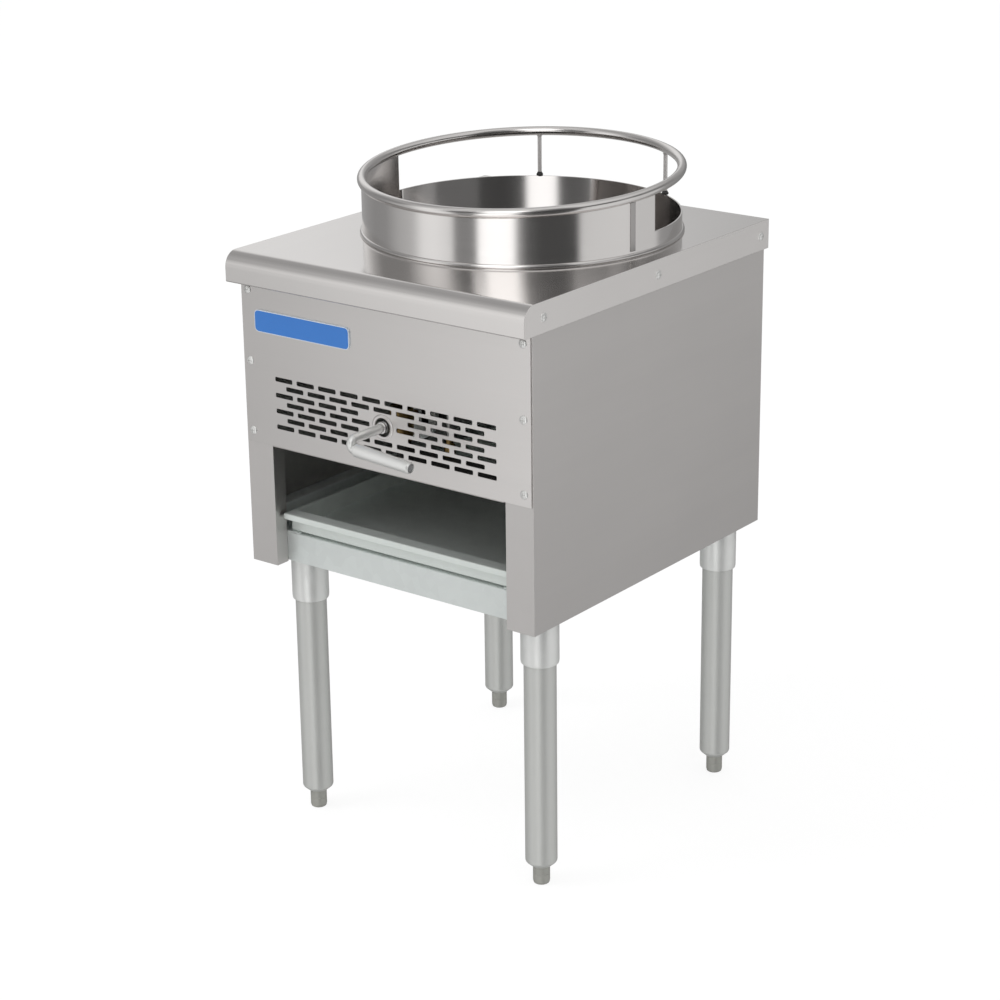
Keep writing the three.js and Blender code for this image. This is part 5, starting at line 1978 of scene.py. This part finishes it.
# ---------------------------------------------------------------------------- studio
@dataclass
class Studio:
    """A pale floor, even light, and the grey and white cards that the steel shows."""

    floor_half: float = 40.0
    floor_share: float = 0.72
    floor_glow: float = 1.16
    plain: float = 0.75
    white: float = 1.0
    top: float = 0.7
    lamp_power: float = 26.0

    AIM = Vector((0, 0, 0.45))
    # Each card is an azimuth in degrees from +X towards +Y, and how bright the room is there.
    LOW_CARDS = (
        ((-180, 0.28), (-164, 0.29), (-150, 0.44), (-139, 0.5), (-135, 0.55), (-127, 0.86), (-118, 0.9))
        + ((-104, 0.82), (-100, 0.25), (-86, 0.25), (-83, 1.36), (-60, 1.36), (-56, 0.4), (-50, 0.12))
        + ((-40, 0.07), (-15, 0.07), (-11, 0.72), (26, 0.72), (34, 0.62), (54, 0.62), (60, 0.34))
        + ((80, 0.28), (112, 0.22), (145, 0.38), (180, 0.28))
    )
    HIGH_CARDS = (  # above the horizon
        ((-180, 0.26), (-148, 0.26), (-138, 0.56), (-131, 0.82), (-122, 0.98), (-113, 0.84), (-105, 0.12))
        + ((-82, 0.08), (-79, 1.3), (-58, 1.3), (-55, 0.07), (-40, 0.05), (-22, 0.06), (-18, 0.14))
        + ((14, 0.13), (17, 0.27), (26, 0.27), (34, 0.14), (46, 0.26), (54, 0.2), (118, 0.42))
        + ((125, 0.64), (132, 0.84), (150, 0.84), (166, 0.48), (180, 0.26))
    )
    CEILING = (
        ((-180, 0.37), (-156, 0.43), (-140, 0.58), (-128, 0.64), (-104, 0.54), (-99, 0.22), (-94, 0.22))
        + ((-89, 1.7), (-55, 1.7), (-49, 0.42), (-40, 0.24), (-27, 0.18), (-16, 0.2), (-11, 0.72))
        + ((34, 0.7), (90, 0.55), (118, 0.46), (132, 0.46), (150, 0.4), (180, 0.37))
    )
    HORIZON = (0.08, 0.22)  # sines of the heights where the low cards end and the high ones begin
    UPPER = (0.45, 0.68)  # where the high cards end and the ceiling begins
    OVERHEAD = (0.84, 0.96)  # where the ceiling turns plain

    def _cards(self, shader: Shader, turn: Value, cards: Sequence[tuple[float, float]]) -> Value:
        """The brightness round the room, from its cards.

        Args:
            shader: The world's shader.
            turn: The azimuth, from 0 to 1.
            cards: The cards, from -180 to 180 degrees.

        Returns:
            The colour.
        """
        node = shader.node("ShaderNodeValToRGB", {0: turn})
        elements = node.color_ramp.elements
        while len(elements) < len(cards):
            elements.new(1.0)
        for element, (azimuth, level) in zip(elements, cards):
            element.position = (azimuth + 180) / 360
            element.color = grey(level)
        return Value(shader, node.outputs[0])

    def _world(self) -> None:
        """Makes the world: white to the camera, cards to glossy rays, plain to the rest."""
        world = bpy.data.worlds.new("studio")
        world.use_nodes = True
        bpy.context.scene.world = world
        shader = Shader(world.node_tree)
        x, y, z = shader.split(shader.value("ShaderNodeTexCoord", out="Generated"))
        turn = y.math("ARCTAN2", x) / math.tau + 0.5
        low, high, ceiling = (
            self._cards(shader, turn, cards) for cards in (self.LOW_CARDS, self.HIGH_CARDS, self.CEILING)
        )
        seen = shader.mix(z.ramp(*self.HORIZON), low, high)
        seen = shader.mix(z.ramp(*self.UPPER), seen, ceiling)
        seen = shader.mix(z.ramp(*self.OVERHEAD), seen, grey(self.top))
        colour = shader.mix(shader.ray("Glossy"), grey(self.plain), seen)
        straight = (shader.ray("Camera") + shader.ray("Transmission")).math("MINIMUM", 1.0)
        colour = shader.mix(straight, colour, grey(self.white))
        background = shader.value("ShaderNodeBackground", {"Color": colour, "Strength": 1.0})
        shader.node("ShaderNodeOutputWorld", {"Surface": background})

    def _floor(self) -> None:
        """Makes the pale floor, which keeps the range's soft shadow and isn't mirrored."""
        half = self.floor_half
        mesh = bpy.data.meshes.new("floor")
        mesh.from_pydata([(x, y, 0) for x, y in rectangle(-half, half, -half, half)], [], [(0, 1, 2, 3)])
        material = bpy.data.materials.new("floor_pale")
        material.use_nodes = True
        shader = Shader(material.node_tree)
        matt = shader.value("ShaderNodeBsdfDiffuse", {"Color": grey(0.8)})
        glow = shader.value("ShaderNodeEmission", {"Color": grey(1.0), "Strength": self.floor_glow})
        clear = shader.value("ShaderNodeBsdfTransparent", {"Color": grey(1.0)})
        share = shader.ray("Camera") * self.floor_share
        seen = shader.value("ShaderNodeMixShader", {0: share, 1: matt, 2: glow})
        surface = shader.value("ShaderNodeMixShader", {0: shader.ray("Glossy"), 1: seen, 2: clear})
        shader.node("ShaderNodeOutputMaterial", {"Surface": surface})
        mesh.materials.append(material)
        link("floor", mesh)

    def _lamp(self, name: str, place: Vector, size: float, power: float) -> None:
        """Hangs a soft square lamp that faces the range.

        Args:
            name: The lamp's name.
            place: Where it hangs.
            size: The length of its sides.
            power: Its power, in watts.
        """
        data = bpy.data.lights.new(name, "AREA")
        data.size = size
        data.energy = power
        lamp = link(name, data)
        lamp.location = place
        lamp.rotation_euler = (self.AIM - place).to_track_quat("-Z", "Y").to_euler()
        lamp.visible_glossy = False

    def build(self) -> None:
        """Sets up the light and the floor."""
        self._world()
        self._floor()
        self._lamp("key", Vector((-1.6, -2.0, 3.0)), 1.6, self.lamp_power)
        self._lamp("fill", Vector((2.6, -1.4, 1.8)), 2.0, self.lamp_power / 3)


@dataclass
class Viewpoint:
    """The camera, where the photograph's was."""

    place: tuple[float, float, float] = (1.9482, -2.5403, 1.5704)
    turn: float = 37.481  # to the left of +Y, in degrees
    dip: float = 19.59
    roll: float = -0.72
    lens: float = 92.97
    sensor: float = 36.0
    clip_end: float = 200.0

    def build(self) -> None:
        """Makes the camera and looks through it."""
        data = bpy.data.cameras.new("camera")
        data.lens = self.lens
        data.sensor_width = self.sensor
        data.sensor_fit = "HORIZONTAL"
        data.clip_end = self.clip_end
        turn, dip, roll = (math.radians(angle) for angle in (self.turn, self.dip, self.roll))
        ahead = Vector((-math.sin(turn) * math.cos(dip), math.cos(turn) * math.cos(dip), -math.sin(dip)))
        level = Vector((math.cos(turn), math.sin(turn), 0))
        upright = level.cross(ahead)
        right = level * math.cos(roll) + upright * math.sin(roll)
        up = upright * math.cos(roll) - level * math.sin(roll)
        frame = Matrix((right, up, -ahead)).transposed().to_4x4()
        camera = link("camera", data)
        camera.matrix_world = Matrix.Translation(self.place) @ frame
        bpy.context.scene.camera = camera


def main() -> None:
    """Builds the range, piece by piece, and the studio round it."""
    logging.basicConfig(level=logging.INFO, format="%(message)s", stream=sys.stdout)
    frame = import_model()
    bpy.context.scene.view_settings.view_transform = "Standard"
    nodes = frame["nodes"]
    range_parts = (Shell(nodes), Deck(), FrontPanel(), NamePlate(), Screws(), DripTray(nodes), Legs())
    range_parts += (GuardRing(), Burner(nodes), GasTrain(), Lever())
    for part in (*range_parts, Studio(), Viewpoint()):
        part.build()


if __name__ == "__main__":
    main()
